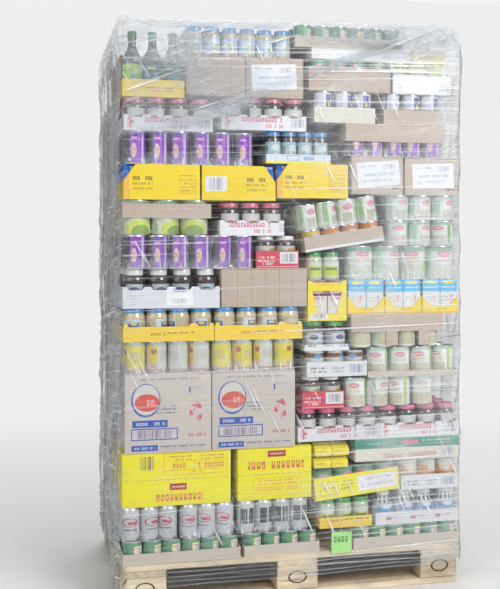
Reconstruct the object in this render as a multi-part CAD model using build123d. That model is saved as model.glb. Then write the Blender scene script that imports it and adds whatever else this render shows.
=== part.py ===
"""A mixed grocery load on a four-way timber pallet, held together by stretch film.

The pallet is the 1200 x 800 mm exchange pallet: five deck boards, three cross boards, nine blocks and three
base boards. Two rows of packs stand on it, back to back, each 400 mm deep: low trays of cans, printed trays of
jars and bottles, shrink-wrapped cans, display trays and closed cartons. Every pack rests on whatever is under
it, two trays bridge a step and lean, and one film skin goes round the lot and turns in over the top.

Frame: millimetres, +Z up, the origin on the floor under the middle of the pallet, X along the 1200 mm side and
-Y towards the front of the load.
"""

import math
import os
from collections import defaultdict
from dataclasses import dataclass, field

from build123d import *

# Pallet
PALLET_LENGTH = 1200.0
PALLET_WIDTH = 800.0
BOARD_THICKNESS = 22.0
BLOCK_HEIGHT = 78.0
WIDE_BOARD = 145.0
NARROW_BOARD = 100.0
PALLET_CORNER = 14.0  # bevel on the pallet's four upright corners
BASE_BEVEL = 8.0  # bevel along the top edges of the base boards, which lets pallet trucks climb in

# Load as a whole
OVERHANG_LONG = 3.0  # how far the rows of packs stand out past the pallet's ends
OVERHANG_WIDE = 2.0  # and past its long sides
ROW_GAP = 10.0  # from the load's middle plane to the backs of the deepest packs
ROW_FACE = PALLET_WIDTH / 2 + OVERHANG_WIDE  # from the load's middle plane to the outermost pack fronts
BAY_DEPTH = ROW_FACE - ROW_GAP  # how deep one pack reaches into the load
LOAD_END = PALLET_LENGTH / 2 + OVERHANG_LONG  # from the load's middle plane to the ends of its rows
FIT = LOAD_END / 603  # how far the packs' places and widths, as listed below, are stretched to fill a row
DEPTH_FIT = BAY_DEPTH / 392  # the same for their depths

# Goods
CORE_DEPTH = 0.20  # how far behind its goods' fronts a pack is filled in, in radii
GOODS_GAP = 0.6  # between neighbours in a pack
BOARD = 2.0  # corrugated board of the trays
TRAY_GAP = 0.4  # between goods and the tray's walls
SEAM_WIDTH = 3.0  # gap between a carton's closing flaps
SEAM_DEPTH = 2.0
GROOVE_WIDTH = 2.4  # between packets that stand side by side
GROOVE_DEPTH = 6.0
DIP_SHARE = 0.22  # of a tray's wall: the dips in front of its jars
TAB_SHARE = 0.20  # tabs that stand up from the wall
CORNER_SHARE = 0.36  # corner cut off a display tray
VEE_SILL_SHARE = 0.28  # what is left of the wall under the wide cut of a display tray

# Stretch film
FILM_THICKNESS = 1.5  # all the layers and trapped folds together
FILM_CLEARANCE = 0.2
FILM_CORNER = 12.0  # radius round the load's upright corners, where the packs leave room for it
FILM_HEM_HEIGHT = 96.0  # lower edge: it covers the deck and the cross boards' ends
FILM_TOP_RISE = 40.0  # how much higher its top is at the right end than at the left
FILM_TOP_TURN = 120.0  # how far it turns in over the goods on top
FILM_LEFT_SHOULDER = 22.0
FILM_RIGHT_SHOULDER = 95.0  # the top row ends short of the right end, and the film rounds off there

NOTE_SIZE = 74.0  # square delivery note stuck on the film
NOTE_THICKNESS = 0.5
NOTE_PLACE = 158.0  # listed X of its middle
NOTE_DROP = 8.0  # its lower edge hangs this far below the pallet's deck

parts: dict[str, list[Solid]] = defaultdict(list)


def block(x0, x1, y0, y1, z0, z1):
    """A box between two corners."""
    size = (x1 - x0, y1 - y0, z1 - z0)
    return Pos((x0 + x1) / 2, (y0 + y1) / 2, (z0 + z1) / 2) * Box(*size)


# Goods


@dataclass(frozen=True)
class Goods:
    """Round goods of one kind. Each step is a diameter and its own height, from the base up.

    A pack of them is so many rows deep.
    """

    node: str
    steps: tuple[tuple[float, float], ...]
    rows: int

    @property
    def listed_pitch(self):
        return max(diameter for diameter, _ in self.steps) + GOODS_GAP

    @property
    def height(self):
        return sum(height for _, height in self.steps)


@dataclass(frozen=True)
class Tray:
    """A board tray. Its style says how the walls are cut: plain, arched, tabbed, corner, vee, cap or band."""

    node: str
    wall: float
    style: str = "plain"
    lift: float = 0.0  # height of a band's lower edge above the pack's base
    mirrored: bool = False


def goods_block(goods, pitch, across, depth, open_top=False):
    """Rows of round goods as one piece: rounds along the front, and a plain core for the goods behind them.

    An open-topped pack is one row of goods. Their upper steps stay apart, because they stand up out of its tray.
    """
    solid = None
    z = 0.0
    for level, (listed, height) in enumerate(goods.steps):
        diameter = listed * (pitch - GOODS_GAP) / (goods.listed_pitch - GOODS_GAP)
        rounds = [Pos((i + 0.5) * pitch, pitch / 2) * Circle(diameter / 2) for i in range(across)]
        if open_top and level > 0:
            sketch = rounds[0] + rounds[1:]
        else:
            side = (pitch - diameter) / 2
            front = side + CORE_DEPTH * diameter / 2
            size = (across * pitch - 2 * side, depth - front)
            core = Pos(across * pitch / 2, front + size[1] / 2) * Rectangle(*size)
            sketch = core + rounds
        step = extrude(Pos(0, 0, z) * sketch, height)
        solid = step if solid is None else solid + step
        z += height
    return solid


def packet_block(count, width, depth, height):
    """Square packets side by side, as one piece with a groove at each joint."""
    solid = block(0, width, 0, depth, 0, height)
    for i in range(1, count):
        x = width * i / count
        solid -= block(x - GROOVE_WIDTH / 2, x + GROOVE_WIDTH / 2, 0, GROOVE_DEPTH, 0, height)
    return solid


# Packaging


def carton(width, depth, height):
    """A closed carton, with the gap between its long flaps along the top."""
    solid = block(0, width, 0, depth, 0, height)
    y = depth / 2
    return solid - block(0, width, y - SEAM_WIDTH / 2, y + SEAM_WIDTH / 2, height - SEAM_DEPTH, height)


def wall_cut(points, *, thickness=BOARD):
    """A cut through a front wall, of the outline that the points give in X and Z."""
    return extrude(Plane.XZ * make_face(Polyline(*points, close=True)), -thickness)


def tray_shell(tray, width, depth, pitch, across):
    """An open tray with its walls cut to the tray's style."""
    shell = block(0, width, 0, depth, 0, tray.wall)
    shell -= block(BOARD, width - BOARD, BOARD, depth - BOARD, BOARD, tray.wall)
    if tray.style == "arched":
        sill = tray.wall * (1 - DIP_SHARE)
        for i in range(across):
            x, top, low = BOARD + TRAY_GAP + (i + 0.5) * pitch, 0.36 * pitch, 0.20 * pitch
            shell -= wall_cut([(x - top, tray.wall), (x - low, sill), (x + low, sill), (x + top, tray.wall)])
    if tray.style == "tabbed":
        bump = tray.wall * TAB_SHARE
        for share in (0.28, 0.72):
            x, low, top = width * share, 0.13 * width, 0.07 * width
            rise = tray.wall + bump
            shell += wall_cut([(x - low, tray.wall), (x - top, rise), (x + top, rise), (x + low, tray.wall)])
    if tray.style == "corner":
        cut = tray.wall * CORNER_SHARE
        edge, inner = (width, width - cut) if tray.mirrored else (0.0, cut)
        shell -= wall_cut([(edge, tray.wall - 1.3 * cut), (inner, tray.wall), (edge, tray.wall)], thickness=depth)
    if tray.style == "vee":
        mid, top, bottom, sill = width / 2, width * 0.40, width * 0.26, tray.wall * VEE_SILL_SHARE
        low, high = (mid - bottom, mid + bottom), (mid - top, mid + top)
        shell -= wall_cut([(high[0], tray.wall), (low[0], sill), (low[1], sill), (high[1], tray.wall)])
    return shell


def cap_shell(tray, width, depth, height):
    """A tray turned over on the goods, or, in the band style, only its walls part way up."""
    if tray.style == "band":
        walls = block(0, width, 0, depth, tray.lift, tray.lift + tray.wall)
        return walls - block(BOARD, width - BOARD, BOARD, depth - BOARD, tray.lift, tray.lift + tray.wall)
    walls = block(0, width, 0, depth, height - tray.wall, height)
    return walls - block(BOARD, width - BOARD, BOARD, depth - BOARD, height - tray.wall, height - BOARD)


# Packs


@dataclass(frozen=True)
class CartonPack:
    """A closed carton."""

    node: str
    listed_width: float
    height: float
    depth: float = BAY_DEPTH

    @property
    def width(self):
        return self.listed_width * FIT

    def build(self):
        return {self.node: [carton(self.width, self.depth, self.height)]}


@dataclass(frozen=True)
class GoodsPack:
    """Round goods in shrink film, on a tray, or under a cap."""

    goods: Goods
    across: int
    tray: Tray | None = None
    open_top: bool = False

    @property
    def margin(self):
        return BOARD + TRAY_GAP if self.tray else 0.0

    @property
    def floor(self):
        return BOARD if self.tray and self.tray.style not in ("cap", "band") else 0.0

    @property
    def roof(self):
        return BOARD if self.tray and self.tray.style == "cap" else 0.0

    @property
    def width(self):
        return (self.across * self.goods.listed_pitch + 2 * self.margin) * FIT

    @property
    def pitch(self):
        return (self.width - 2 * self.margin) / self.across

    @property
    def depth(self):
        return (self.goods.rows * self.goods.listed_pitch + 2 * self.margin) * DEPTH_FIT

    @property
    def height(self):
        return self.floor + self.goods.height + self.roof

    def build(self):
        inside = Pos(self.margin, self.margin, self.floor)
        goods = goods_block(self.goods, self.pitch, self.across, self.depth - 2 * self.margin, self.open_top)
        made = {self.goods.node: [inside * goods]}
        if self.tray and self.tray.style in ("cap", "band"):
            made[self.tray.node] = [cap_shell(self.tray, self.width, self.depth, self.height)]
        elif self.tray:
            made[self.tray.node] = [tray_shell(self.tray, self.width, self.depth, self.pitch, self.across)]
        return made


@dataclass(frozen=True)
class PacketPack:
    """Square packets, in a tray or by themselves."""

    node: str
    count: int
    listed_width: float
    height: float
    tray: Tray | None = None
    depth: float = BAY_DEPTH

    @property
    def width(self):
        return self.listed_width * FIT

    def build(self):
        if not self.tray:
            return {self.node: [packet_block(self.count, self.width, self.depth, self.height)]}
        margin = BOARD + TRAY_GAP
        size = (self.width - 2 * margin, self.depth - 2 * margin, self.height - BOARD)
        packets = Pos(margin, margin, BOARD) * packet_block(self.count, *size)
        shell = tray_shell(self.tray, self.width, self.depth, self.width / self.count, self.count)
        return {self.node: [packets], self.tray.node: [shell]}


# Stacking


@dataclass
class Row:
    """One of the two rows of packs, seen from its own side. It keeps the tops that the next packs rest on."""

    turned: bool
    tops: list[tuple[float, float, float, float]] = field(default_factory=list)
    fronts: list[tuple[float, float]] = field(default_factory=list)

    def level(self, x0, x1):
        """The highest point under a pack that reaches from x0 to x1."""
        found = [DECK_TOP]
        for a, b, z_a, z_b in self.tops:
            low, high = max(a, x0), min(b, x1)
            if high - low > 0.01:
                slope = (z_b - z_a) / (b - a)
                found += [z_a + slope * (low - a), z_a + slope * (high - a)]
        return max(found)

    def lean(self, x0, x1):
        """Height at x0 and slope of a pack that lies on the two corners on either side of its middle."""
        corners = []
        for a, b, z_a, z_b in self.tops:
            low, high = max(a, x0), min(b, x1)
            if high - low > 0.01:
                slope = (z_b - z_a) / (b - a)
                corners += [(low, z_a + slope * (low - a)), (high, z_a + slope * (high - a))]
        middle = (x0 + x1) / 2
        pairs = [(p, q) for p in corners for q in corners if p[0] <= middle < q[0]]
        slopes = [((q[1] - p[1]) / (q[0] - p[0]), p) for p, q in pairs]
        slope, corner = max(slopes, key=lambda found: found[1][1] + found[0] * (middle - found[1][0]))
        return corner[1] + slope * (x0 - corner[0]), slope

    def put(self, pack, x, setback, base=None, tilt=0.0):
        """Stands one pack at x, on what is there."""
        z = self.level(x, x + pack.width) if base is None else base
        place = Location((x, setback - ROW_FACE, z), (0, -tilt, 0))
        for node, solids in pack.build().items():
            for solid in solids:
                stood = place * solid
                parts[node].append(stood.rotate(Axis.Z, 180) if self.turned else stood)
        run, rise = math.cos(math.radians(tilt)), math.sin(math.radians(tilt))
        left = x - pack.height * rise
        top = z + pack.height * run
        self.tops.append((left, left + pack.width * run, top, top + pack.width * rise))
        self.fronts += [(x, setback), (x + pack.width, setback)]
        return x + pack.width

    def course(self, start, *packs):
        """Packs side by side: each is (pack, gap before it, setback of its front). Places are as listed."""
        x = start * FIT
        for pack, gap, setback in packs:
            x = self.put(pack, x + gap * FIT, setback)

    def from_left(self, *packs):
        """The same, from the left end of the row."""
        self.course(-LOAD_END / FIT, *packs)

    def leaning(self, start, *packs):
        """Packs one on another that lean together because the lowest bridges a step. Places are as listed."""
        lowest = packs[0][0]
        x = start * FIT
        z, slope = self.lean(x, x + lowest.width)
        tilt = math.degrees(math.atan(slope))
        for pack, shift, setback in packs:
            x += shift * FIT * math.cos(math.radians(tilt))
            z += shift * FIT * math.sin(math.radians(tilt))
            self.put(pack, x, setback, base=z, tilt=tilt)
            x -= pack.height * math.sin(math.radians(tilt))
            z += pack.height * math.cos(math.radians(tilt))


DECK_TOP = 3 * BOARD_THICKNESS + BLOCK_HEIGHT


def pallet():
    """The four-way pallet: boards and blocks, each a piece of timber of its own."""
    corners = extrude(
        chamfer(Rectangle(PALLET_LENGTH, PALLET_WIDTH).vertices(), PALLET_CORNER), DECK_TOP
    )
    half_l, half_w = PALLET_LENGTH / 2, PALLET_WIDTH / 2
    block_top = BOARD_THICKNESS + BLOCK_HEIGHT
    widths = [WIDE_BOARD, NARROW_BOARD, WIDE_BOARD, NARROW_BOARD, WIDE_BOARD]
    gap = (PALLET_WIDTH - sum(widths)) / (len(widths) - 1)
    y = -half_w
    for width in widths:
        board = block(-half_l, half_l, y, y + width, DECK_TOP - BOARD_THICKNESS, DECK_TOP)
        parts["pallet_deck_boards"].append(board & corners)
        y += width + gap
    columns = (-half_l + WIDE_BOARD / 2, 0.0, half_l - WIDE_BOARD / 2)
    lines = ((-half_w, -half_w + NARROW_BOARD), (-WIDE_BOARD / 2, WIDE_BOARD / 2), (half_w - NARROW_BOARD, half_w))
    for x in columns:
        x0, x1 = x - WIDE_BOARD / 2, x + WIDE_BOARD / 2
        cross = block(x0, x1, -half_w, half_w, block_top, block_top + BOARD_THICKNESS)
        parts["pallet_cross_boards"].append(cross & corners)
        for y0, y1 in lines:
            parts["pallet_blocks"].append(block(x0, x1, y0, y1, BOARD_THICKNESS, block_top) & corners)
    for y0, y1 in lines:
        board = block(-half_l, half_l, y0, y1, 0, BOARD_THICKNESS) & corners
        rims = board.faces().sort_by(Axis.Z)[-1].edges().filter_by(Axis.X)
        parts["pallet_base_boards"].append(chamfer(rims, BASE_BEVEL, BASE_BEVEL))


# The products

small_can = Goods("small_cans", ((65.0, 76.0),), 5)
drink_can = Goods("drink_cans", ((62.0, 113.0),), 6)
grey_can = Goods("drink_cans", ((62.0, 113.0),), 6)
soup_can = Goods("soup_cans", ((72.4, 106.0),), 5)
dressing_jar = Goods("dressing_jars", ((75.0, 92.0), (68.0, 17.0)), 5)
sauce_jar = Goods("sauce_jars", ((80.0, 106.0), (60.0, 24.0)), 4)
purple_can = Goods("purple_cans", ((72.4, 112.0),), 5)
big_can = Goods("big_cans", ((101.5, 120.0),), 3)
banded_can = Goods("banded_cans", ((97.4, 119.0),), 3)
snack_jar = Goods("snack_jars", ((72.0, 94.0), (60.0, 15.0)), 5)
spread_jar = Goods("spread_jars", ((73.0, 92.0), (64.0, 18.0)), 5)
baby_jar = Goods("baby_jars", ((56.0, 92.0), (50.0, 18.0)), 6)
oil_bottle = Goods("oil_bottles", ((67.0, 158.0), (34.0, 61.0)), 1)
blue_jar = Goods("blue_lid_jars", ((61.0, 78.0), (54.0, 19.0)), 6)
pickle_jar = Goods("pickle_jars", ((62.0, 80.0), (54.0, 17.0)), 6)
milk_bottle = Goods("milk_bottles", ((77.0, 72.0), (50.0, 44.0)), 4)
lid_can = Goods("green_top_cans", ((76.0, 98.0),), 5)
orange_can = Goods("tomato_cans", ((71.0, 104.0),), 5)
vegetable_can = Goods("vegetable_cans", ((84.0, 103.0),), 4)
tall_can = Goods("vegetable_cans", ((84.0, 116.0),), 4)
short_can = Goods("short_vegetable_cans", ((86.0, 90.0),), 4)
tomato_can = Goods("tomato_cans", ((71.0, 72.0),), 5)
bean_can = Goods("small_cans", ((71.0, 88.0),), 5)
silver_jar = Goods("snack_jars", ((78.0, 82.0), (66.0, 20.0)), 4)
striped_can = Goods("blue_white_cans", ((72.4, 108.0),), 5)
green_top_can = Goods("green_top_cans", ((73.0, 104.0),), 5)
pea_can = Goods("short_vegetable_cans", ((73.0, 90.0),), 5)
flat_can = Goods("green_top_cans", ((68.0, 42.0),), 5)

can_tray = Tray("kraft_trays", 38.0)
dressing_tray = Tray("dressing_trays", 50.0, "tabbed")
sauce_tray = Tray("white_trays", 72.0, "arched")
spread_tray = Tray("spread_trays", 52.0, "arched")
red_tray = Tray("red_trays", 60.0)
corner_tray = Tray("corner_cut_trays", 118.0, "corner")
corner_tray_right = Tray("corner_cut_trays", 118.0, "corner", mirrored=True)
baby_tray = Tray("pale_tray", 32.0)
oil_tray = Tray("yellow_trays", 58.0)
pickle_tray = Tray("yellow_trays", 38.0)
milk_tray = Tray("white_trays", 44.0, "arched")
lid_can_tray = Tray("yellow_trays", 78.0)
orange_tray = Tray("white_trays", 52.0)
tomato_tray = Tray("kraft_trays", 52.0)
silver_tray = Tray("white_trays", 22.0)
vee_tray = Tray("vee_cut_trays", 118.0, "vee")
tall_vee_tray = Tray("vee_cut_trays", 140.0, "vee")
striped_tray = Tray("cream_trays", 54.0)
green_top_tray = Tray("kraft_trays", 84.0)
low_tray = Tray("kraft_trays", 22.0)
kraft_cap = Tray("kraft_caps", 62.0, "cap")
kraft_band = Tray("kraft_bands", 48.0, "band", lift=58.0)


def kraft(width, height, depth=BAY_DEPTH):
    """A plain brown carton."""
    return CartonPack("kraft_cartons", width, height, depth)


def front_bottom(row):
    """The front from the deck to the two trays of spread on the right."""
    row.from_left((GoodsPack(small_can, 6, can_tray), 3, 2), (GoodsPack(small_can, 4, can_tray), 14, 5))
    row.course(204, (GoodsPack(small_can, 6, can_tray), 0, 3))
    drinks = GoodsPack(drink_can, 3)
    row.from_left((drinks, 0, 6), (drinks, 8, 6), (GoodsPack(grey_can, 4), 12, 9))
    row.course(81, (GoodsPack(pickle_jar, 3, pickle_tray), 0, 6), (GoodsPack(milk_bottle, 4, milk_tray), 12, 2))
    row.leaning(66, (GoodsPack(lid_can, 4, lid_can_tray), 0, 2))
    row.course(382, (GoodsPack(orange_can, 3, orange_tray), 0, 4))
    long_case = CartonPack("seasoning_cartons", 368.0, 180.0)
    short_case = CartonPack("seasoning_cartons", 262.0, 180.0)
    row.from_left((long_case, 0, 6), (short_case, 25, 8))
    soup_packets = PacketPack("soup_packets", 2, 126.0, 42.0)
    row.course(61, (soup_packets, 0, 6))
    row.course(64, (soup_packets, 0, 4))
    row.course(210, (CartonPack("pasta_cartons", 392.0, 80.0), 0, 1))
    spread = GoodsPack(spread_jar, 4, spread_tray)
    row.course(2, (spread, 0, 3), (spread, 2, 5))


def front_middle(row):
    """The front from the two grey cartons on the left to the step that the highest tray leans over."""
    cleaner = CartonPack("cleaner_cartons", 291.0, 265.0)
    row.from_left((cleaner, 9, 1), (cleaner, 3, 1))
    row.course(20, (GoodsPack(snack_jar, 2, red_tray), 0, 6), (GoodsPack(vegetable_can, 4), 8, 4))
    row.course(34, (GoodsPack(bean_can, 3, orange_tray), 0, 4), (GoodsPack(vegetable_can, 4, low_tray), 5, 4))
    soup = GoodsPack(soup_can, 4)
    row.from_left((soup, 9, 3), (soup, 4, 3))
    row.course(26, (GoodsPack(silver_jar, 2, silver_tray), 0, 6), (GoodsPack(tall_can, 4, kraft_cap), 8, 3))
    dressing = GoodsPack(dressing_jar, 4, dressing_tray)
    row.from_left((dressing, 3, 1), (dressing, 2, 1))
    meals = PacketPack("meal_packets", 2, 137.0, 120.0, vee_tray)
    desserts = PacketPack("dessert_packets", 2, 141.0, 142.0, tall_vee_tray)
    row.course(38, (desserts, 0, 5), (meals, 3, 2), (meals, 3, 3), (meals, 3, 2))
    row.from_left((GoodsPack(sauce_jar, 4, sauce_tray), 2, 2), (kraft(302.0, 132.0), 6, 4))
    row.course(38, (GoodsPack(pickle_jar, 2), 0, 12), (GoodsPack(big_can, 4), 24, 3))
    row.from_left((GoodsPack(purple_can, 6), 12, 3), (GoodsPack(snack_jar, 2, red_tray), 8, 6))
    row.leaning(30, (GoodsPack(tomato_can, 4, tomato_tray), 0, 2), (GoodsPack(pea_can, 4), -6, 5))
    short_cans = GoodsPack(short_can, 3)
    row.course(336, (short_cans, 0, 3))
    row.course(338, (short_cans, 0, 4))
    row.from_left((GoodsPack(banded_can, 3, kraft_band), 1, 3), (GoodsPack(spread_jar, 3, spread_tray), 31, 7))


def front_left_upper(row):
    """The left half of the front, from the yellow display trays to the top."""
    squeeze = PacketPack("squeeze_packs", 4, 256.0, 118.0, corner_tray)
    squeeze_right = PacketPack("squeeze_packs", 4, 256.0, 118.0, corner_tray_right)
    row.from_left((squeeze, 5, 1), (squeeze_right, 7, 1), (squeeze, 6, 2))
    row.from_left((GoodsPack(purple_can, 6), 12, 3), (GoodsPack(baby_jar, 4, baby_tray), 42, 4))
    spread = GoodsPack(spread_jar, 4, spread_tray)
    row.from_left((spread, 6, 2), (spread, 30, 3))
    oil = GoodsPack(oil_bottle, 3, oil_tray, open_top=True)
    behind = kraft(204.0, 150.0, depth=BAY_DEPTH - oil.depth - 8)
    left = -LOAD_END + FIT
    base = row.level(left, left + oil.width)
    row.put(oil, left, 4, base=base)
    row.put(behind, left, 12 + oil.depth, base=base)
    row.course(-388, (kraft(203.0, 138.0), 0, 1), (kraft(203.0, 138.0), 3, 2))
    row.course(-388, (GoodsPack(blue_jar, 6), 0, 6))


def front_right_upper(row):
    """The right half of the front, from the two labelled cartons to the tray of cans on top."""
    row.course(196, (CartonPack("labelled_cartons", 192.0, 134.0), 0, 1))
    row.course(396, (CartonPack("labelled_cartons", 205.0, 134.0), 0, 2))
    row.course(176, (GoodsPack(purple_can, 5, kraft_cap), 0, 3))
    row.course(60, (GoodsPack(striped_can, 3, striped_tray), 0, 2), (GoodsPack(striped_can, 3, striped_tray), 34, 5))
    row.course(42, (GoodsPack(green_top_can, 4, green_top_tray), 0, 3))
    row.course(350, (CartonPack("white_cartons", 222.0, 68.0), 0, 1))
    row.course(348, (GoodsPack(flat_can, 3), 0, 5))
    row.course(52, (CartonPack("white_cartons", 368.0, 40.0), 0, 4))
    row.course(425, (CartonPack("yellow_cartons", 128.0, 50.0), 0, 6))
    row.course(-8, (GoodsPack(small_can, 6, can_tray), 0, 3))


def back_left(row):
    """The left half of the back, seen from behind."""
    row.from_left((kraft(300.0, 160.0), 0, 2), (kraft(296.0, 160.0), 4, 0))
    drinks = GoodsPack(drink_can, 3)
    row.from_left((drinks, 6, 4), (drinks, 8, 6), (drinks, 10, 3))
    cleaner = CartonPack("cleaner_cartons", 291.0, 265.0)
    row.from_left((cleaner, 4, 2), (cleaner, 6, 1))
    row.from_left((CartonPack("seasoning_cartons", 368.0, 180.0), 2, 3), (kraft(222.0, 180.0), 6, 5))
    labelled = CartonPack("labelled_cartons", 192.0, 134.0)
    row.from_left((labelled, 4, 2), (labelled, 8, 1), (labelled, 6, 3))
    soup = GoodsPack(soup_can, 4)
    row.from_left((soup, 6, 3), (kraft(296.0, 106.0), 4, 2))
    row.from_left((kraft(298.0, 190.0), 2, 1), (kraft(298.0, 190.0), 3, 3))
    row.from_left((cleaner, 4, 1), (cleaner, 6, 2))
    row.from_left((kraft(388.0, 170.0), 6, 3), (kraft(200.0, 170.0), 5, 1))
    squeeze = PacketPack("squeeze_packs", 4, 256.0, 118.0, corner_tray)
    row.from_left((squeeze, 8, 5), (squeeze, 12, 3))
    row.from_left((kraft(270.0, 115.0), 30, 4), (kraft(270.0, 115.0), 12, 3))


def back_right(row):
    """The right half of the back, seen from behind."""
    row.course(8, (GoodsPack(small_can, 4, can_tray), 0, 4), (kraft(296.0, 78.0), 14, 3))
    row.course(6, (kraft(296.0, 190.0), 0, 2), (kraft(296.0, 190.0), 4, 1))
    row.course(4, (CartonPack("seasoning_cartons", 262.0, 180.0), 0, 4), (kraft(324.0, 180.0), 6, 2))
    labelled = CartonPack("labelled_cartons", 192.0, 134.0)
    row.course(8, (labelled, 0, 2), (labelled, 6, 3), (labelled, 5, 1))
    row.course(0, (kraft(290.0, 150.0), 0, 4), (kraft(290.0, 150.0), 14, 2))
    cleaner = CartonPack("cleaner_cartons", 291.0, 265.0)
    row.course(6, (cleaner, 0, 2), (cleaner, 8, 3))
    row.course(6, (GoodsPack(purple_can, 4), 0, 4), (GoodsPack(purple_can, 4), 6, 5))
    row.course(4, (kraft(298.0, 145.0), 0, 3), (kraft(298.0, 145.0), 2, 1))
    row.course(4, (CartonPack("pasta_cartons", 392.0, 80.0), 0, 2), (CartonPack("white_cartons", 200.0, 80.0), 5, 4))
    row.course(6, (cleaner, 0, 3), (cleaner, 8, 1))
    row.course(6, (kraft(220.0, 115.0), 0, 5), (kraft(220.0, 115.0), 10, 3))


# Wrapping


def corner_room(across, down):
    """The largest rounding that clears a square corner this far from the two faces it joins."""
    return across + down + math.sqrt(max(0.0, 2 * across * down))


def film_body(grow, tops, shoulders, corner_radius):
    """The block that the film encloses, grown by an amount on every side but the bottom."""
    end, face = LOAD_END + FILM_CLEARANCE + grow, ROW_FACE + FILM_CLEARANCE + grow
    left_top, right_top = (z + grow for z in tops)
    outline = Polyline(
        (-end, FILM_HEM_HEIGHT), (end, FILM_HEM_HEIGHT), (end, right_top), (-end, left_top), close=True
    )
    profile = make_face(outline)
    for side, radius in zip((-1, 1), shoulders):
        corner = max(profile.vertices(), key=lambda v: v.Y + side * v.X)
        profile = fillet([corner], radius + grow)
    prism = extrude(Plane.XZ * profile, face, both=True)
    height = max(left_top, right_top) + 1
    upright = extrude(RectangleRounded(2 * end, 2 * face, corner_radius + grow), height)
    return prism & upright


def stretch_film(tops, fronts):
    """The film skin: it hangs from the load, hugs it, and turns in over the top as far as FILM_TOP_TURN."""
    rise = FILM_TOP_RISE / (2 * LOAD_END)
    base = max(z - rise * x for x, z in tops) + FILM_CLEARANCE
    edge = LOAD_END + FILM_CLEARANCE
    heights = (base - rise * edge, base + rise * edge)
    shoulders = []
    for side, height, radius in ((-1, heights[0], FILM_LEFT_SHOULDER), (1, heights[1], FILM_RIGHT_SHOULDER)):
        shoulders.append(min([radius] + [corner_room(edge - side * x, height - z) for x, z in tops]))
    corner = min([FILM_CORNER] + [corner_room(edge - abs(x), FILM_CLEARANCE + setback) for x, setback in fronts])
    skin = film_body(FILM_THICKNESS, heights, shoulders, corner) - film_body(0.0, heights, shoulders, corner)
    opening = Rectangle(2 * (LOAD_END - FILM_TOP_TURN), 2 * (ROW_FACE - FILM_TOP_TURN))
    mouth = Pos(0, 0, max(heights) - FILM_TOP_TURN) * extrude(opening, 2 * FILM_TOP_TURN)
    parts["stretch_film"].append(skin - mouth)


def delivery_note():
    """The paper slip stuck on the front of the film, over the gap between two trays."""
    x, z = NOTE_PLACE * FIT, DECK_TOP + NOTE_SIZE / 2 - NOTE_DROP
    face = -(ROW_FACE + FILM_CLEARANCE + FILM_THICKNESS)
    half = NOTE_SIZE / 2
    parts["delivery_note"].append(block(x - half, x + half, face - NOTE_THICKNESS, face, z - half, z + half))


def main():
    """Builds the pallet, both rows and the film, and writes one file for each node."""
    pallet()
    front = Row(turned=False)
    front_bottom(front)
    front_middle(front)
    front_left_upper(front)
    front_right_upper(front)
    back = Row(turned=True)
    back_left(back)
    back_right(back)
    corners = [point for a, b, z_a, z_b in front.tops for point in ((a, z_a), (b, z_b))]
    corners += [point for a, b, z_a, z_b in back.tops for point in ((-a, z_a), (-b, z_b))]
    stretch_film(corners, front.fronts + back.fronts)
    delivery_note()
    os.makedirs("parts", exist_ok=True)
    for node, solids in parts.items():
        export_step(Compound(children=solids), f"parts/{node}.step")


main()
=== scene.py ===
"""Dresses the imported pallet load: timber, board, cans, jars and bottles, and the film that holds them together."""

import logging
import math
import random
from dataclasses import dataclass, field, replace
from enum import Enum
from functools import partial
from typing import Callable, Iterable, Sequence

import bmesh
import bpy
from mathutils import Matrix, Vector, noise

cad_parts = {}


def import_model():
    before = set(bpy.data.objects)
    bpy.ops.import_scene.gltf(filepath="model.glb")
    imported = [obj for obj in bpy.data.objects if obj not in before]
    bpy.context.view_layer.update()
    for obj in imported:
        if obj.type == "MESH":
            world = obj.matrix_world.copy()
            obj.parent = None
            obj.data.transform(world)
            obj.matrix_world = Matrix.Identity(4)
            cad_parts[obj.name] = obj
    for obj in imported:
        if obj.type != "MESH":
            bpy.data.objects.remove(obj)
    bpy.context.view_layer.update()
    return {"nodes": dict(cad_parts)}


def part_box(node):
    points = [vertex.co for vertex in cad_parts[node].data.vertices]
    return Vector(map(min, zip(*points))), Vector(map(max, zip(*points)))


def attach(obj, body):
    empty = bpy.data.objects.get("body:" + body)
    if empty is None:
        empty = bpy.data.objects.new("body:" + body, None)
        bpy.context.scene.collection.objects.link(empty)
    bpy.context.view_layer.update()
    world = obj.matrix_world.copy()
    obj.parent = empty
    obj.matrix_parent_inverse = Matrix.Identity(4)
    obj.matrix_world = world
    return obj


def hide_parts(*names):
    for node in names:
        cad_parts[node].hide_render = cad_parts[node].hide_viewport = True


log = logging.getLogger("pallet_load")
BMesh = bmesh.types.BMesh
Slots = Sequence[int] | None
Pair = tuple[float, float]
Triple = tuple[float, float, float]
# Red, green and blue in hundredths.
Colour = Triple
PURE_WHITE: Colour = (100, 100, 100)
WHITE: Colour = (80, 80, 78)
SKY: Colour = (25, 55, 80)
KRAFT: Colour = (52, 42, 34)


# Shader maths


def math_node(operation: str, swapped: bool = False) -> Callable[..., "Term"]:
    """Makes an operator of Term.

    Args:
        operation: what the Math node does.
        swapped: puts the term last.

    Returns:
        The method.
    """

    def method(self: "Term", *others: "Term | float") -> "Term":
        """Adds the Math node."""
        values = (*others, self) if swapped else (self, *others)
        return self.kit.node("ShaderNodeMath", {"operation": operation}, dict(enumerate(values)))

    return method


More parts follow.
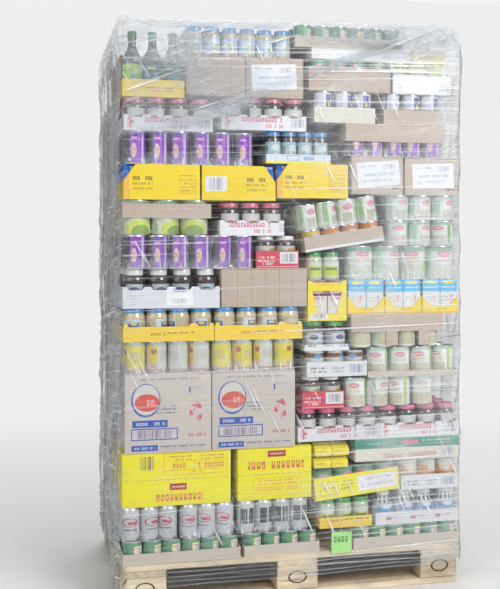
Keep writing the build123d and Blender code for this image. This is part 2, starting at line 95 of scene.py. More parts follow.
class Term:
    """A shader socket that takes part in Python arithmetic."""

    def __init__(self, kit: "Kit", socket: bpy.types.NodeSocket) -> None:
        self.kit = kit
        self.socket = socket

    __add__ = __radd__ = math_node("ADD")
    __mul__ = __rmul__ = math_node("MULTIPLY")
    __sub__, __rsub__ = math_node("SUBTRACT"), math_node("SUBTRACT", True)
    __truediv__, __pow__, __abs__ = math_node("DIVIDE"), math_node("POWER"), math_node("ABSOLUTE")
    __gt__, __lt__ = math_node("GREATER_THAN"), math_node("LESS_THAN")
    floor, fract = math_node("FLOOR"), math_node("FRACT")
    least, most = math_node("MINIMUM"), math_node("MAXIMUM")

    def clamp(self, low: float = 0.0, high: float = 1.0) -> "Term":
        """Limits the value."""
        return self.most(low).least(high)

    def within(self, low: float, high: float) -> "Term":
        """1 between two values."""
        return (self > low) * (self < high)


class Kit:
    """Builds one material's node tree."""

    def __init__(self, name: str) -> None:
        """Makes an empty material of that name."""
        self.material = bpy.data.materials.new(name)
        self.material.use_nodes = True
        self.tree = self.material.node_tree
        self.tree.nodes.clear()

    @classmethod
    def over(cls, tree: bpy.types.NodeTree) -> "Kit":
        """Empties a tree that is there already, such as the world's, and builds in it."""
        kit = cls.__new__(cls)
        kit.tree = tree
        tree.nodes.clear()
        return kit

    def raw(self, kind: str, settings: dict | None = None, inputs: dict | None = None) -> bpy.types.Node:
        """Adds a node.

        Args:
            kind: the node's type name.
            settings: attributes that are set before the inputs; "stops" fills a colour ramp.
            inputs: socket name or number to a value or a Term.

        Returns:
            The node.
        """
        made = self.tree.nodes.new(kind)
        for key, value in (settings or {}).items():
            if key == "stops":
                ramp = made.color_ramp
                while len(ramp.elements) < len(value):
                    ramp.elements.new(0.5)
                for element, (place, colour) in zip(ramp.elements, value):
                    element.position = place
                    element.color = (*colour, 1.0)
            else:
                setattr(made, key, value)
        for key, value in (inputs or {}).items():
            socket = made.inputs[key]
            if isinstance(value, Term):
                self.tree.links.new(value.socket, socket)
            elif isinstance(value, tuple) and len(value) == 3 and socket.type == "RGBA":
                socket.default_value = (*(part / 100 for part in value), 1.0)
            else:
                socket.default_value = value
        return made

    def node(self, kind: str, settings: dict | None = None, inputs: dict | None = None, out: int | str = 0) -> Term:
        """Adds a node and gives one of its outputs."""
        return Term(self, self.raw(kind, settings, inputs).outputs[out])

    def place(self, scale: Sequence[float] = (1, 1, 1), turn: Sequence[float] = (0, 0, 0)) -> Term:
        """Object coordinates, turned and then scaled."""
        source = self.node("ShaderNodeTexCoord", out="Object")
        turned = self.node("ShaderNodeMapping", None, {0: source, "Rotation": turn})
        return self.scaled(turned, scale)

    def scaled(self, vector: Term, scale: Sequence[float]) -> Term:
        """A vector times a scale for each direction."""
        return self.node("ShaderNodeVectorMath", {"operation": "MULTIPLY"}, {0: vector, 1: scale})

    def parts(self, vector: Term) -> list[Term]:
        """The three numbers of a vector."""
        return [Term(self, part) for part in self.raw("ShaderNodeSeparateXYZ", None, {0: vector}).outputs]

    def uv(self) -> tuple[Term, Term, Term]:
        """The piece's own UV map, as a vector and its two parts."""
        vector = self.node("ShaderNodeUVMap", {"uv_map": "print"})
        u, v, _ = self.parts(vector)
        return vector, u, v

    def tint(self) -> Term:
        """A number from 0 to 1 that differs from one piece in the mesh to the next."""
        return self.node("ShaderNodeAttribute", {"attribute_name": "tint"}, out="Fac")

    def noise(self, vector: Term, scale: float, detail: float = 2.0, rough: float = 0.5, warp: float = 0.0) -> Term:
        """A noise pattern from 0 to 1."""
        values = {"Vector": vector, "Scale": scale, "Detail": detail, "Roughness": rough, "Distortion": warp}
        return self.node("ShaderNodeTexNoise", None, values)

    def steps(self, value: Term, *stops: Pair) -> Term:
        """A ramp from value to brightness."""
        made = [(place, (level, level, level)) for place, level in stops]
        return self.node("ShaderNodeValToRGB", {"stops": made}, {0: value})

    def mix(self, mask: Term | float, first: Term | Colour, second: Term | Colour, how: str = "MIX") -> Term:
        """Mixes two colours by a mask."""
        inputs = {0: mask, 6: first, 7: second}
        return self.node("ShaderNodeMix", {"data_type": "RGBA", "blend_type": how}, inputs, out=2)

    def shaded(self, colour: Term | Colour, shade: Term) -> Term:
        """Multiplies a colour by a brightness."""
        grey = self.node("ShaderNodeCombineColor", None, {0: shade, 1: shade, 2: shade})
        return self.mix(1.0, colour, grey, "MULTIPLY")

    def vector(self, x: Term, y: Term, z: Term | float = 0.0) -> Term:
        """Joins three numbers into a vector."""
        return self.node("ShaderNodeCombineXYZ", None, {0: x, 1: y, 2: z})

    def dice(self, value: Term) -> Term:
        """A number from 0 to 1, another one for each value."""
        return self.node("ShaderNodeTexWhiteNoise", {"noise_dimensions": "1D"}, {"W": value})

    def bump(self, height: Term, distance: float, strength: float = 1.0) -> Term:
        """A bumped normal. Distance is in metres."""
        return self.node("ShaderNodeBump", None, {"Height": height, "Distance": distance, "Strength": strength})

    def surface(self, **values: object) -> bpy.types.Material:
        """Ends the tree in a Principled shader with these socket values, spaces written as underscores."""
        shader = self.node("ShaderNodeBsdfPrincipled", None, {k.replace("_", " "): v for k, v in values.items()})
        self.raw("ShaderNodeOutputMaterial", None, {0: shader})
        return self.material


# Prints

LABEL_UNIT, BOARD_UNIT = 100.0, 1000.0
FRAME_LINE = 0.0016
BARS_TO_METRE = 900
ROW_HEIGHT = 0.011
LETTERS_TO_METRE = 260
FLUTES_TO_METRE = 145.0


class Shape(Enum):
    """How a printed mark is filled."""

    BOX = "box"
    OVAL = "oval"
    RING = "ring"
    BARS = "bars"
    LINES = "lines"
    WORD = "word"
    FRAME = "frame"
    PICTURE = "picture"
    GRAINS = "grains"


@dataclass(frozen=True)
class Mark:
    """One printed mark or painted highlight: its middle and half sizes on the print map, and its colours."""

    shape: Shape
    x: float
    y: float
    w: float
    h: float
    colour: Colour
    second: Colour = WHITE

    def sized(self, unit: float) -> "Mark":
        """The mark with its place and sizes divided by a unit."""
        return replace(self, **{key: getattr(self, key) / unit for key in "xywh"})

    def paint(self, kit: Kit, base: Term | Colour, uv: tuple[Term, Term, Term]) -> Term:
        """Lays the mark over a colour.

        Args:
            kit: the material's kit.
            base: the colour under the mark.
            uv: the print map, whole and in parts.

        Returns:
            The new colour.
        """
        vector, u, v = uv
        dx, dy = (u - self.x) / self.w, (v - self.y) / self.h
        square = (abs(dx) < 1.0) * (abs(dy) < 1.0)
        radius = dx * dx + dy * dy
        colour: Term | Colour = self.colour
        if self.shape is Shape.OVAL:
            mask = radius < 1.0
        elif self.shape is Shape.RING:
            mask = radius.within(0.66, 1.0)
        elif self.shape is Shape.FRAME:
            mask = square * (1 - (abs(dx) < 1 - FRAME_LINE / self.w) * (abs(dy) < 1 - FRAME_LINE / self.h))
        elif self.shape is Shape.BARS:
            count = max(14.0, self.w * BARS_TO_METRE)
            mask = square * (kit.dice((dx * count).floor()) > 0.5)
        elif self.shape is Shape.LINES:
            rows = max(1.0, round(self.h * 2 / ROW_HEIGHT))
            row = (dy * (rows / 2)).floor()
            cell = kit.vector((u * LETTERS_TO_METRE).floor(), row)
            letters = kit.node("ShaderNodeTexWhiteNoise", {"noise_dimensions": "2D"}, {"Vector": cell})
            mask = square * ((dy * (rows / 2)).fract() < 0.55) * (letters > 0.32)
        elif self.shape is Shape.WORD:
            cell = (u - self.x) / (self.h * 1.35)
            gap = kit.dice(cell.floor() + self.w * 999)
            inside = cell.fract().within(0.34, 0.58) * (abs(dy - gap + 0.5) < 0.42)
            mask = square * cell.fract().within(0.10, 0.82) * (gap > 0.14) * (1 - inside)
        elif self.shape is Shape.PICTURE:
            mask = radius < 1.0
            blobs = kit.noise(vector, 1.6 / self.h, 3.0)
            colour = kit.mix(kit.steps(blobs, (0.42, 0), (0.5, 1)), self.colour, self.second)
        elif self.shape is Shape.GRAINS:
            mask = square
            blobs = kit.noise(vector, 34.0, 2.0, 0.8)
            colour = kit.mix(kit.steps(blobs, (0.40, 0), (0.60, 1)), self.colour, self.second)
        else:
            mask = square
        return kit.mix(mask, base, colour)


# Marks of each shape, in the unit of the print that they are in: hundredths on a label, millimetres on board.
box, oval, ring, bars, lines, word, frame, picture, grains = (partial(Mark, shape) for shape in Shape)


def stripe(y: float, h: float, colour: Colour) -> Mark:
    """A stripe right across a face or round a label, by its middle and half height."""
    return box(0, y, 9000, h, colour)


@dataclass(frozen=True)
class PrintedFinish:
    """Printed paper, board or plastic: a ground colour with marks over it."""

    name: str
    ground: Colour
    marks: tuple[Mark, ...] = ()
    roughness: float = 0.42
    flute: bool = False
    label: bool = False
    spread: float = 0.10
    coat: float = 0.0
    other: Colour | None = None

    def material(self) -> bpy.types.Material:
        """Makes the material. Where there is another ground, about half of the pieces have it."""
        kit = Kit(self.name)
        uv = kit.uv()
        if self.label:
            uv = (uv[0], (uv[1] * 2 + 0.5).fract() - 0.5, uv[2])
        colour: Term = kit.mix(kit.tint() > 0.55, self.ground, self.other or self.ground)
        for mark in self.marks:
            colour = mark.sized(LABEL_UNIT if self.label else BOARD_UNIT).paint(kit, colour, uv)
        coords = kit.place()
        mottle = kit.noise(coords, 28.0, 4.0)
        shade = (1 - self.spread) + kit.tint() * self.spread + (mottle - 0.5) * 0.12
        colour = kit.shaded(colour, shade)
        height = kit.noise(coords, 320.0, 2.0) * 0.3
        if self.flute:
            ribs = (uv[1] * FLUTES_TO_METRE).fract() - 0.5
            height = height + ribs * ribs * 2.2 + kit.noise(coords, 9.0, 2.0) * 2.0
            scuff = kit.steps(kit.noise(coords, 60.0, 5.0, 0.7), (0.58, 0), (0.75, 1))
            colour = kit.mix(scuff * 0.25, colour, (62, 52, 40))
        normal = kit.bump(height, 0.0008)
        rough = (mottle - 0.5) * 0.18 + self.roughness
        return kit.surface(
            Base_Color=colour, Roughness=rough, Normal=normal, Coat_Weight=self.coat, Coat_Roughness=0.15,
        )


@dataclass(frozen=True)
class PlainFinish:
    """Metal, plastic or glass of one colour, with wear."""

    name: str
    colour: Colour
    roughness: float = 0.3
    metallic: float = 0.0
    coat: float = 0.0
    mottle: float = 0.12
    grain: float = 60.0

    def material(self) -> bpy.types.Material:
        """Makes the material."""
        kit = Kit(self.name)
        coords = kit.place()
        cloud = kit.noise(coords, self.grain, 4.0)
        shade = (cloud - 0.5) * (self.mottle * 2) + (1 - self.mottle * 0.5) + (kit.tint() - 0.5) * self.mottle
        colour = kit.shaded(self.colour, shade)
        normal = kit.bump(cloud, 0.0005, 0.6)
        rough = (cloud - 0.5) * 0.2 + self.roughness
        return kit.surface(
            Base_Color=colour, Roughness=rough, Metallic=self.metallic, Coat_Weight=self.coat,
            Coat_Roughness=0.08, Normal=normal,
        )


@dataclass(frozen=True)
class TimberFinish:
    """Sawn softwood that has been in use: grain, knots, weathered streaks."""

    name: str = "sawn_timber"
    light: Colour = (84, 71, 52)
    dark: Colour = (58, 46, 31)

    def material(self) -> bpy.types.Material:
        """Makes the material. The print map's U runs along the grain, in metres."""
        kit = Kit(self.name)
        vector, u, v = kit.uv()
        tint = kit.tint()
        along = kit.vector(u * 3.0, v * 42.0, tint * 50.0)
        rings = kit.noise(along, 1.0, 5.0, 0.55, 0.6)
        fine = kit.noise(kit.vector(u * 12.0, v * 420.0, tint * 9.0), 1.0, 3.0)
        stains = kit.noise(kit.place(), 5.0, 4.0, 0.6)
        colour = kit.mix(kit.steps(rings, (0.35, 0), (0.62, 1)), self.dark, self.light)
        colour = kit.mix(kit.steps(stains, (0.48, 0), (0.74, 0.6)), colour, (26, 22, 18))
        knots = kit.node("ShaderNodeTexVoronoi", None, {"Vector": along, "Scale": 0.55}, out="Distance")
        colour = kit.mix(kit.steps(knots, (0.05, 1), (0.13, 0)), colour, (14, 7, 3))
        colour = kit.shaded(colour, 0.78 + tint * 0.34)
        normal = kit.bump(fine * 0.6 + rings * 0.4, 0.0012)
        return kit.surface(Base_Color=colour, Roughness=(fine * 0.2 + 0.62), Normal=normal)


@dataclass(frozen=True)
class FilmFinish:
    """Clear stretch film: haze, stretch streaks and creases, with streaks, crinkles and slashes painted white as
    highlights.

    Args:
        clear: how little shows where the film lies flat.
        streak: how strongly the stretch streaks show, painted white as highlights.
        haze: how milky the folded areas are.
        lean: how much more of it, with its painted highlights and glints, shows to the right and near the top, where
            the layers lie double.
        edge: how much more it shows at a low angle.
        gather: how milky its foot is, where it is drawn together, with painted glints in its crumples.
    """

    name: str
    clear: float = 0.05
    streak: float = 0.40
    haze: float = 0.25
    along: Triple = (3.0, 3.0, 130.0)
    turn: Triple = (0.0, 0.0, 0.0)
    crease: float = 0.5
    milk: Colour = (86, 89, 93)
    slash: float = 0.0
    relief: float = 0.004
    ribbon: bool = False
    fade: bool = False
    lean: float = 0.0
    edge: float = 0.25
    gather: float = 0.0

    def material(self) -> bpy.types.Material:
        """Makes the material: a mix of transparent and a milky gloss."""
        kit = Kit(self.name)
        coords = kit.place()
        stretched = kit.place(self.along, self.turn)
        vector, u, v = kit.uv()
        if self.ribbon:
            stretched = kit.scaled(vector, self.along)
        streaks = kit.noise(stretched, 1.0, 5.0, 0.62, 0.35)
        long_streaks = kit.noise(kit.place([s * 0.35 for s in self.along], self.turn), 1.0, 3.0, 0.5, 0.2)
        cloud = kit.noise(coords, 4.5, 4.0, 0.55)
        crinkle = kit.noise(coords, 38.0, 4.0, 0.7, 0.8)
        # Painted highlights: bright lines on the streaks and glints on the crinkles. The cloud gives the film's own
        # haze.
        threads = kit.steps(streaks, (0.52, 0), (0.60, 0.30), (0.70, 1))
        broad = kit.steps(long_streaks, (0.44, 0.08), (0.60, 1))
        milky = kit.steps(cloud, (0.42, 0.05), (0.70, 1))
        sparks = kit.steps(crinkle, (0.58, 0), (0.70, 1))
        rim = kit.node("ShaderNodeLayerWeight", None, {"Blend": 0.3}, out="Facing")
        mask = self.clear + threads * broad * self.streak + milky * self.haze * 0.6
        mask = mask + sparks * milky * self.crease * 0.45 + rim * rim * self.edge
        if self.lean:
            x, _, z = kit.parts(coords)
            right = kit.steps(x + cloud * 0.3 + 0.35, (0.46, 0), (0.95, 1))
            high = kit.steps(z * 0.5 + cloud * 0.05, (0.82, 0), (0.92, 1))
            mask = mask + high * (threads * 0.35 + sparks * 0.30 + 0.05) * self.lean
            mask = mask + right * (threads * 0.5 + milky * 0.3 + 0.06) * self.lean
        # Painted glare: sparse, steep white slashes in patches.
        if self.slash:
            slant = kit.noise(kit.place((5.0, 5.0, 75.0), (0, -1.13, 0)), 1.0, 2.0, 0.5, 0.3)
            patch = kit.steps(kit.noise(coords, 3.1, 2.0), (0.50, 0), (0.62, 1))
            mask = mask + kit.steps(slant, (0.63, 0), (0.70, 1)) * patch * self.slash
        if self.gather:
            foot = kit.steps(v + (crinkle - 0.5) * 0.45 + (streaks - 0.5) * 0.35, (0.10, 1), (0.34, 0))
            mask = mask + foot * (sparks + threads * 0.7 + 0.16) * self.gather
        if self.fade:
            mask = mask * (1 - abs(u * 2 - 1) ** 6) * (1 - abs(v * 2 - 1) ** 4)
        normal = kit.bump(streaks * 0.5 + crinkle * 0.5 * self.crease + long_streaks, self.relief)
        # The streaks are painted near white as highlights.
        colour = kit.mix(threads, self.milk, (88, 90, 94))
        values = {"Base Color": colour, "Roughness": 0.16, "Normal": normal, "Specular IOR Level": 0.8}
        milk = kit.node("ShaderNodeBsdfPrincipled", None, values)
        clear = kit.node("ShaderNodeBsdfTransparent", None, {0: (97, 98, 99)})
        mixed = kit.node("ShaderNodeMixShader", None, {0: mask.clamp(0.0, 0.96), 1: clear, 2: milk})
        kit.raw("ShaderNodeOutputMaterial", None, {0: mixed})
        return kit.material


Finish = PrintedFinish | PlainFinish | TimberFinish | FilmFinish


class Palette:
    """Makes each finish once."""

    def __init__(self) -> None:
        """Starts empty."""
        self.made: dict[str, bpy.types.Material] = {}

    def get(self, finish: Finish) -> bpy.types.Material:
        """Gives the material of a finish."""
        if finish.name not in self.made:
            self.made[finish.name] = finish.material()
        return self.made[finish.name]


# Mesh tools


@dataclass(frozen=True)
class Seat:
    """Where one pack of a CAD node stands: its own frame, with X across, Y into the load and Z up, and its size."""

    matrix: Matrix
    size: Vector
    low: Vector
    high: Vector
    shoulders: Pair = (0.0, 0.0)

    @property
    def centre(self) -> Vector:
        """The middle of its box."""
        return (self.low + self.high) / 2


def seats_of(node: bpy.types.Object) -> list[Seat]:
    """Reads the separate solids of a CAD node.

    Args:
        node: the CAD node's object, which is left alone.

    Returns:
        One seat for each solid, from the lowest up.
    """
    bm = bmesh.new()
    bm.from_mesh(node.data)
    bmesh.ops.remove_doubles(bm, verts=bm.verts, dist=1e-5)
    left = set(bm.verts)
    seats = []
    while left:
        todo = [left.pop()]
        group = []
        while todo:
            vert = todo.pop()
            group.append(vert)
            for edge in vert.link_edges:
                other = edge.other_vert(vert)
                if other in left:
                    left.remove(other)
                    todo.append(other)
        faces = {face for vert in group for face in vert.link_faces}
        upward: dict[float, float] = {}
        for face in faces:
            if face.normal.z > 0.9:
                tilt = round(math.atan2(face.normal.x, face.normal.z), 3)
                upward[tilt] = upward.get(tilt, 0.0) + face.calc_area()
        tilt = max(upward, key=lambda angle: upward[angle])
        points = [vert.co for vert in group]
        middle = sum((p.y for p in points), 0.0) / len(points)
        turn = Matrix.Rotation(math.pi if middle > 0 else 0.0, 4, "Z") @ Matrix.Rotation(tilt, 4, "Y")
        own = [turn.inverted() @ p for p in points]
        low = Vector([min(p[k] for p in own) for k in range(3)])
        high = Vector([max(p[k] for p in own) for k in range(3)])
        ends = [Vector([pick(p[k] for p in points) for k in range(3)]) for pick in (min, max)]
        shoulders = tuple(max(p.z for p in own if abs(p.x - x) < 2e-3) - low.z for x in (low.x, high.x))
        seats.append(Seat(turn @ Matrix.Translation(low), high - low, *ends, shoulders))
    bm.free()
    return sorted(seats, key=lambda seat: (round(seat.low.z, 3), seat.low.y, seat.low.x))


def blank() -> BMesh:
    """An empty mesh with a print map."""
    bm = bmesh.new()
    bm.loops.layers.uv.new("print")
    return bm


def meshed(name: str, bm: BMesh) -> bpy.types.Mesh:
    """Turns a loose mesh into one of that name."""
    mesh = bpy.data.meshes.new(name)
    bm.to_mesh(mesh)
    bm.free()
    return mesh


def placed(name: str, data: bpy.types.ID) -> bpy.types.Object:
    """Puts an object with this data into the scene."""
    made = bpy.data.objects.new(name, data)
    bpy.context.scene.collection.objects.link(made)
    return made


def ease(bm: BMesh, edges: Sequence[bmesh.types.BMEdge], width: float, segments: int = 1) -> None:
    """Bevels the edges."""
    bmesh.ops.bevel(bm, geom=edges, offset=width, segments=segments, profile=0.5, affect="EDGES", material=-1)


def round_side(half: Pair, r: float, side: int, s: float) -> tuple[Vector, Vector]:
    """Finds a point on a rectangle with round corners, seen from above.

    Args:
        half: half its width and half its depth.
        r: radius of its corners.
        side: from the front round to the left.
        s: how far along that side from its middle. Past its straight part it goes on round the corner.

    Returns:
        The point and the outward direction.
    """
    long, deep = half[side % 2] - r, half[(side + 1) % 2] - r
    angle = math.copysign(max(0.0, abs(s) - long) / r, s)
    turn = Matrix.Rotation(side * math.pi / 2, 3, "Z")
    out = Vector((math.sin(angle), -math.cos(angle), 0))
    return turn @ (Vector((max(-long, min(long, s)), -deep, 0)) + out * r), turn @ out


def print_map(bm: BMesh, faces: Iterable[bmesh.types.BMFace], middle: Vector) -> None:
    """Lays the print map on flat sides: U across and V up, in metres from the middle of the base."""
    layer = bm.loops.layers.uv["print"]
    for face in faces:
        normal = face.normal
        for loop in face.loops:
            p = loop.vert.co - middle
            if abs(normal.z) > 0.7:
                loop[layer].uv = (p.x, p.y + 10.0)
            elif abs(normal.x) > abs(normal.y):
                loop[layer].uv = (p.y * (1 if normal.x > 0 else -1), p.z)
            else:
                loop[layer].uv = (p.x * (-1 if normal.y > 0 else 1), p.z)


def slab(
    bm: BMesh, low: Sequence[float], high: Sequence[float], edge: float = 0.0, slot: int = 0, cuts: int = 0
) -> list[bmesh.types.BMFace]:
    """Adds a box with eased edges.

    Args:
        bm: the mesh to add to.
        low: lowest corner.
        high: highest corner.
        edge: width of the eased edge.
        slot: material slot.
        cuts: subdivisions of its edges.

    Returns:
        The new faces.
    """
    low, high = Vector(low), Vector(high)
    place = Matrix.Translation((low + high) / 2) @ Matrix.Diagonal((*(high - low), 1.0))
    before = set(bm.faces)
    made = bmesh.ops.create_cube(bm, size=1.0, matrix=place)["verts"]
    if cuts:
        edges = list({e for v in made for e in v.link_edges})
        bmesh.ops.subdivide_edges(bm, edges=edges, cuts=cuts, use_grid_fill=True)
    if edge:
        fresh = [f for f in bm.faces if f not in before]
        sharp = {e for f in fresh for e in f.edges if e.calc_face_angle(0.0) > 0.5}
        ease(bm, list(sharp), edge, 2)
    faces = [f for f in bm.faces if f not in before]
    for face in faces:
        face.material_index = slot
    bm.normal_update()
    return faces


def outline_slab(
    bm: BMesh, points: Sequence[Pair], y: float, thick: float, slot: int = 0
) -> list[bmesh.types.BMFace]:
    """Adds an upright board of the outline given in X and Z, from y to y + thick."""
    before = set(bm.faces)
    verts = [bm.verts.new((x, y, z)) for x, z in points]
    face = bm.faces.new(verts)
    extruded = bmesh.ops.extrude_face_region(bm, geom=[face])["geom"]
    moved = [g for g in extruded if isinstance(g, bmesh.types.BMVert)]
    bmesh.ops.translate(bm, verts=moved, vec=(0, thick, 0))
    faces = [f for f in bm.faces if f not in before]
    bmesh.ops.recalc_face_normals(bm, faces=faces)
    for made in faces:
        made.material_index = slot
    return faces


SMOOTH_ANGLE = math.radians(34)


class Assembly:
    """Gathers many stamped copies into one mesh object."""

    def __init__(self, name: str, finishes: Sequence[Finish], palette: Palette) -> None:
        """Starts an empty mesh with the finishes as its material slots."""
        self.name = name
        self.bm = blank()
        self.bm.faces.layers.float.new("tint")
        self.finishes = list(finishes)
        self.palette = palette

    def stamp(self, template: bpy.types.Mesh, matrix: Matrix, tint: float, slots: Slots = None) -> None:
        """Adds a copy of a template.

        Args:
            template: the mesh to copy.
            matrix: where it goes.
            tint: number from 0 to 1 that varies its colour.
            slots: material slot for each of the template's own slots.
        """
        copy = template.copy()
        copy.transform(matrix)
        if slots:
            copy.polygons.foreach_set("material_index", [slots[face.material_index] for face in copy.polygons])
        layer = copy.attributes.get("tint") or copy.attributes.new("tint", "FLOAT", "FACE")
        layer.data.foreach_set("value", [tint] * len(copy.polygons))
        self.bm.from_mesh(copy)
        bpy.data.meshes.remove(copy)

    def press(self, bm: BMesh, tint: float = 0.5, matrix: Matrix = Matrix.Identity(4), slots: Slots = None) -> None:
        """Stamps a loose mesh once, with its place and slots as in stamp, and lets it go."""
        mesh = meshed("loose", bm)
        self.stamp(mesh, matrix, tint, slots)
        bpy.data.meshes.remove(mesh)

    def finish(self, nodes: Sequence[str], smooth: bool = True) -> bpy.types.Object:
        """Makes the object, lets it stand for its CAD nodes and rides it on the load.

        Args:
            nodes: the CAD nodes that it replaces.
            smooth: whether its faces shade smoothly up to sharp edges.

        Returns:
            The object.
        """
        mesh = meshed(self.name, self.bm)
        made = placed(self.name, mesh)
        for finish in self.finishes:
            mesh.materials.append(self.palette.get(finish))
        if smooth:
            mesh.polygons.foreach_set("use_smooth", [True] * len(mesh.polygons))
            mesh.set_sharp_from_angle(angle=SMOOTH_ANGLE)
        if nodes:
            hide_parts(*nodes)
        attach(made, "root")
        log.info("%s: %d faces", self.name, len(mesh.polygons))
        return made


def lathe(name: str, profile: Sequence[tuple[float, float, int]], steps: int, label: Pair) -> bpy.types.Mesh:
    """Spins a profile into a template mesh.

    Args:
        name: mesh name.
        profile: radius, height and the material slot of the stretch that starts there.
        steps: sides of the round.
        label: lowest and highest point of the label, which the print map's V spans.

    Returns:
        The mesh, round the Z axis, with the label's front towards -Y.
    """
    bm = blank()
    layer = bm.loops.layers.uv["print"]
    for (r0, z0, slot), (r1, z1, _) in zip(profile, profile[1:]):
        before = set(bm.faces)
        verts = [bm.verts.new((0, r0, z0)), bm.verts.new((0, r1, z1))]
        edge = bm.edges.new(verts)
        bmesh.ops.spin(
            bm, geom=[*verts, edge], cent=(0, 0, 0), axis=(0, 0, 1), angle=math.tau, steps=steps, use_merge=True,
        )
        for face in set(bm.faces) - before:
            face.material_index = slot
    bmesh.ops.remove_doubles(bm, verts=bm.verts, dist=1e-6)
    bmesh.ops.recalc_face_normals(bm, faces=bm.faces)
    for face in bm.faces:
        middle = face.calc_center_median()
        about = math.atan2(middle.x, -middle.y) / math.tau
        for loop in face.loops:
            p = loop.vert.co
            turn = math.atan2(p.x, -p.y) / math.tau if p.xy.length > 1e-7 else about
            turn += round(about - turn)
            loop[layer].uv = (turn, (p.z - label[0]) / max(1e-6, label[1] - label[0]))
    return meshed(name, bm)


# Finishes of the goods


def label(
    name: str, ground: Colour, *marks: Mark, roughness: float = 0.34, coat: float = 0.25, other: Colour | None = None
) -> PrintedFinish:
    """A paper or printed-metal label. Marks are in hundredths of half a turn across and of the label's height up."""
    return PrintedFinish(name, ground, marks, roughness, label=True, coat=coat, other=other)


TIN = PlainFinish("tinplate", (60, 61, 62), 0.26, 1, mottle=0.1)
ALUMINIUM = PlainFinish("brushed_aluminium", (66, 67, 69), 0.3, 1, mottle=0.08)
GREEN_LACQUER = PlainFinish("green_lacquered_tin", (10, 32, 8), 0.3, 0.5, coat=0.3)
DARK_CONTENTS = PlainFinish("dark_contents_behind_glass", (3.5, 1.2, 0.8), 0.1, coat=1)
BEIGE_CONTENTS = PlainFinish("beige_contents_behind_glass", (60, 50, 30), 0.12, coat=1)
GREEN_CONTENTS = PlainFinish("pale_green_contents_behind_glass", (52, 58, 42), 0.1, coat=1)
OIL_GLASS = PlainFinish("dark_green_bottle_glass", (2, 3.5, 2), 0.08, coat=1)
WHITE_LID = PlainFinish("white_lid", (74, 74, 72), 0.3, coat=0.4, mottle=0.05)
BLUE_LID = PlainFinish("blue_lid", (6, 27, 56), 0.3, coat=0.5, mottle=0.06)
GREEN_LID = PlainFinish("green_lid", (6, 33, 7), 0.3, coat=0.5, mottle=0.06)
GREEN_CAP = PlainFinish("dark_green_cap", (4, 17, 7), 0.32, coat=0.3, mottle=0.05)
BERRY_LID = PlainFinish("berry_lid", (62, 13, 24), 0.32, coat=0.4, mottle=0.08)

PAPER: Colour = (82, 82, 80)
ROSE: Colour = (72, 28, 38)
LIME: Colour = (46, 62, 16)
MINT: Colour = (50, 68, 54)
PINE: Colour = (12, 30, 18)


def emblem(x: float, y: float, size: float) -> tuple[Mark, ...]:
    """A plain oval with a pale line across it, and a yellow line below."""
    below = box(x, y - size * 0.8, size, 1.2, (80, 66, 8))
    return oval(x, y, size, size * 0.6, ROSE), box(x, y, size * 0.6, 1.2, PAPER), below


SMALL_CAN = label(
    "small_can_label", (13, 33, 20), box(24, 40, 22, 43, (80, 68, 10)), box(26, 38, 20, 41, PAPER),
    box(16, 70, 13, 3.5, ROSE), box(20, 58, 12, 1.5, (30, 45, 32)), box(24, 64, 10, 1.5, (66, 50, 20)),
)
BEAN_CAN = label(
    "bean_can_label", (62, 64, 60), stripe(20, 20, (16, 34, 10)), stripe(84, 10, (22, 8, 4)),
    oval(10, 80, 13, 11, (10, 32, 60)), picture(10, 30, 30, 20, LIME, (20, 36, 8)),
)
DRINK_CAN = label(
    "drink_can_print", (60, 60, 62), ring(0, 60, 30, 16, (56, 5, 10)), oval(8, 58, 16, 6, (56, 5, 10)),
    box(2, 34, 24, 2.2, (16, 16, 18)), roughness=0.26,
)
GREY_CAN = label(
    "grey_drink_can_print", (60, 60, 59), box(-10, 56, 13, 28, (5, 5, 6)), box(20, 56, 12, 28, (6, 6, 7)),
    box(5, 24, 28, 1, (62, 62, 60)), roughness=0.26,
)
SOUP_CAN = label(
    "soup_can_label", (68, 67, 60), box(-30, 52, 13, 40, (78, 62, 3)), lines(10, 55, 20, 16, (46, 44, 38)),
    oval(-28, 70, 10, 9, (48, 12, 4)), picture(-28, 22, 12, 12, (58, 16, 10), (74, 50, 36)),
    stripe(5, 5, (56, 34, 30)), stripe(95, 5, (50, 54, 48)), other=(78, 66, 8),
)
# The pale violet bar at the right of the purple panel is a painted highlight; the rest is print.
PURPLE_CAN = label(
    "purple_can_print_and_highlight", (3, 2.8, 4), box(8, 50, 27, 60, (25, 2, 45)), oval(-6, 50, 14, 38, (34, 3, 52)),
    box(22, 50, 4.5, 60, (66, 52, 76)), picture(-7, 40, 8.5, 24, (72, 34, 12), (70, 62, 56)),
    box(-6, 80, 9, 3, (66, 52, 60)), roughness=0.24, coat=0.3,
)
# The near-white bar right of the middle is a painted highlight; the rest is print.
BIG_CAN = label(
    "big_can_label", (80, 81, 78), box(32, 50, 6, 60, (88, 89, 89)), box(-36, 50, 9, 60, MINT),
    stripe(93, 7, (22, 42, 26)), grains(6, 22, 33, 22, (58, 60, 46), (80, 78, 68)), *emblem(6, 78, 17),
    box(6, 56, 20, 1, ROSE), box(42, 50, 4, 60, LIME),
)
BANDED_CAN = label(
    "banded_can_label", (66, 72, 54), oval(10, 16, 34, 26, (62, 70, 12)), oval(14, 6, 24, 22, (26, 38, 10)),
    oval(0, 90, 38, 9, (14, 40, 24)), box(0, 70, 30, 6, PAPER), box(10, 72, 12, 2, ROSE), bars(-36, 20, 5, 12, PINE),
)
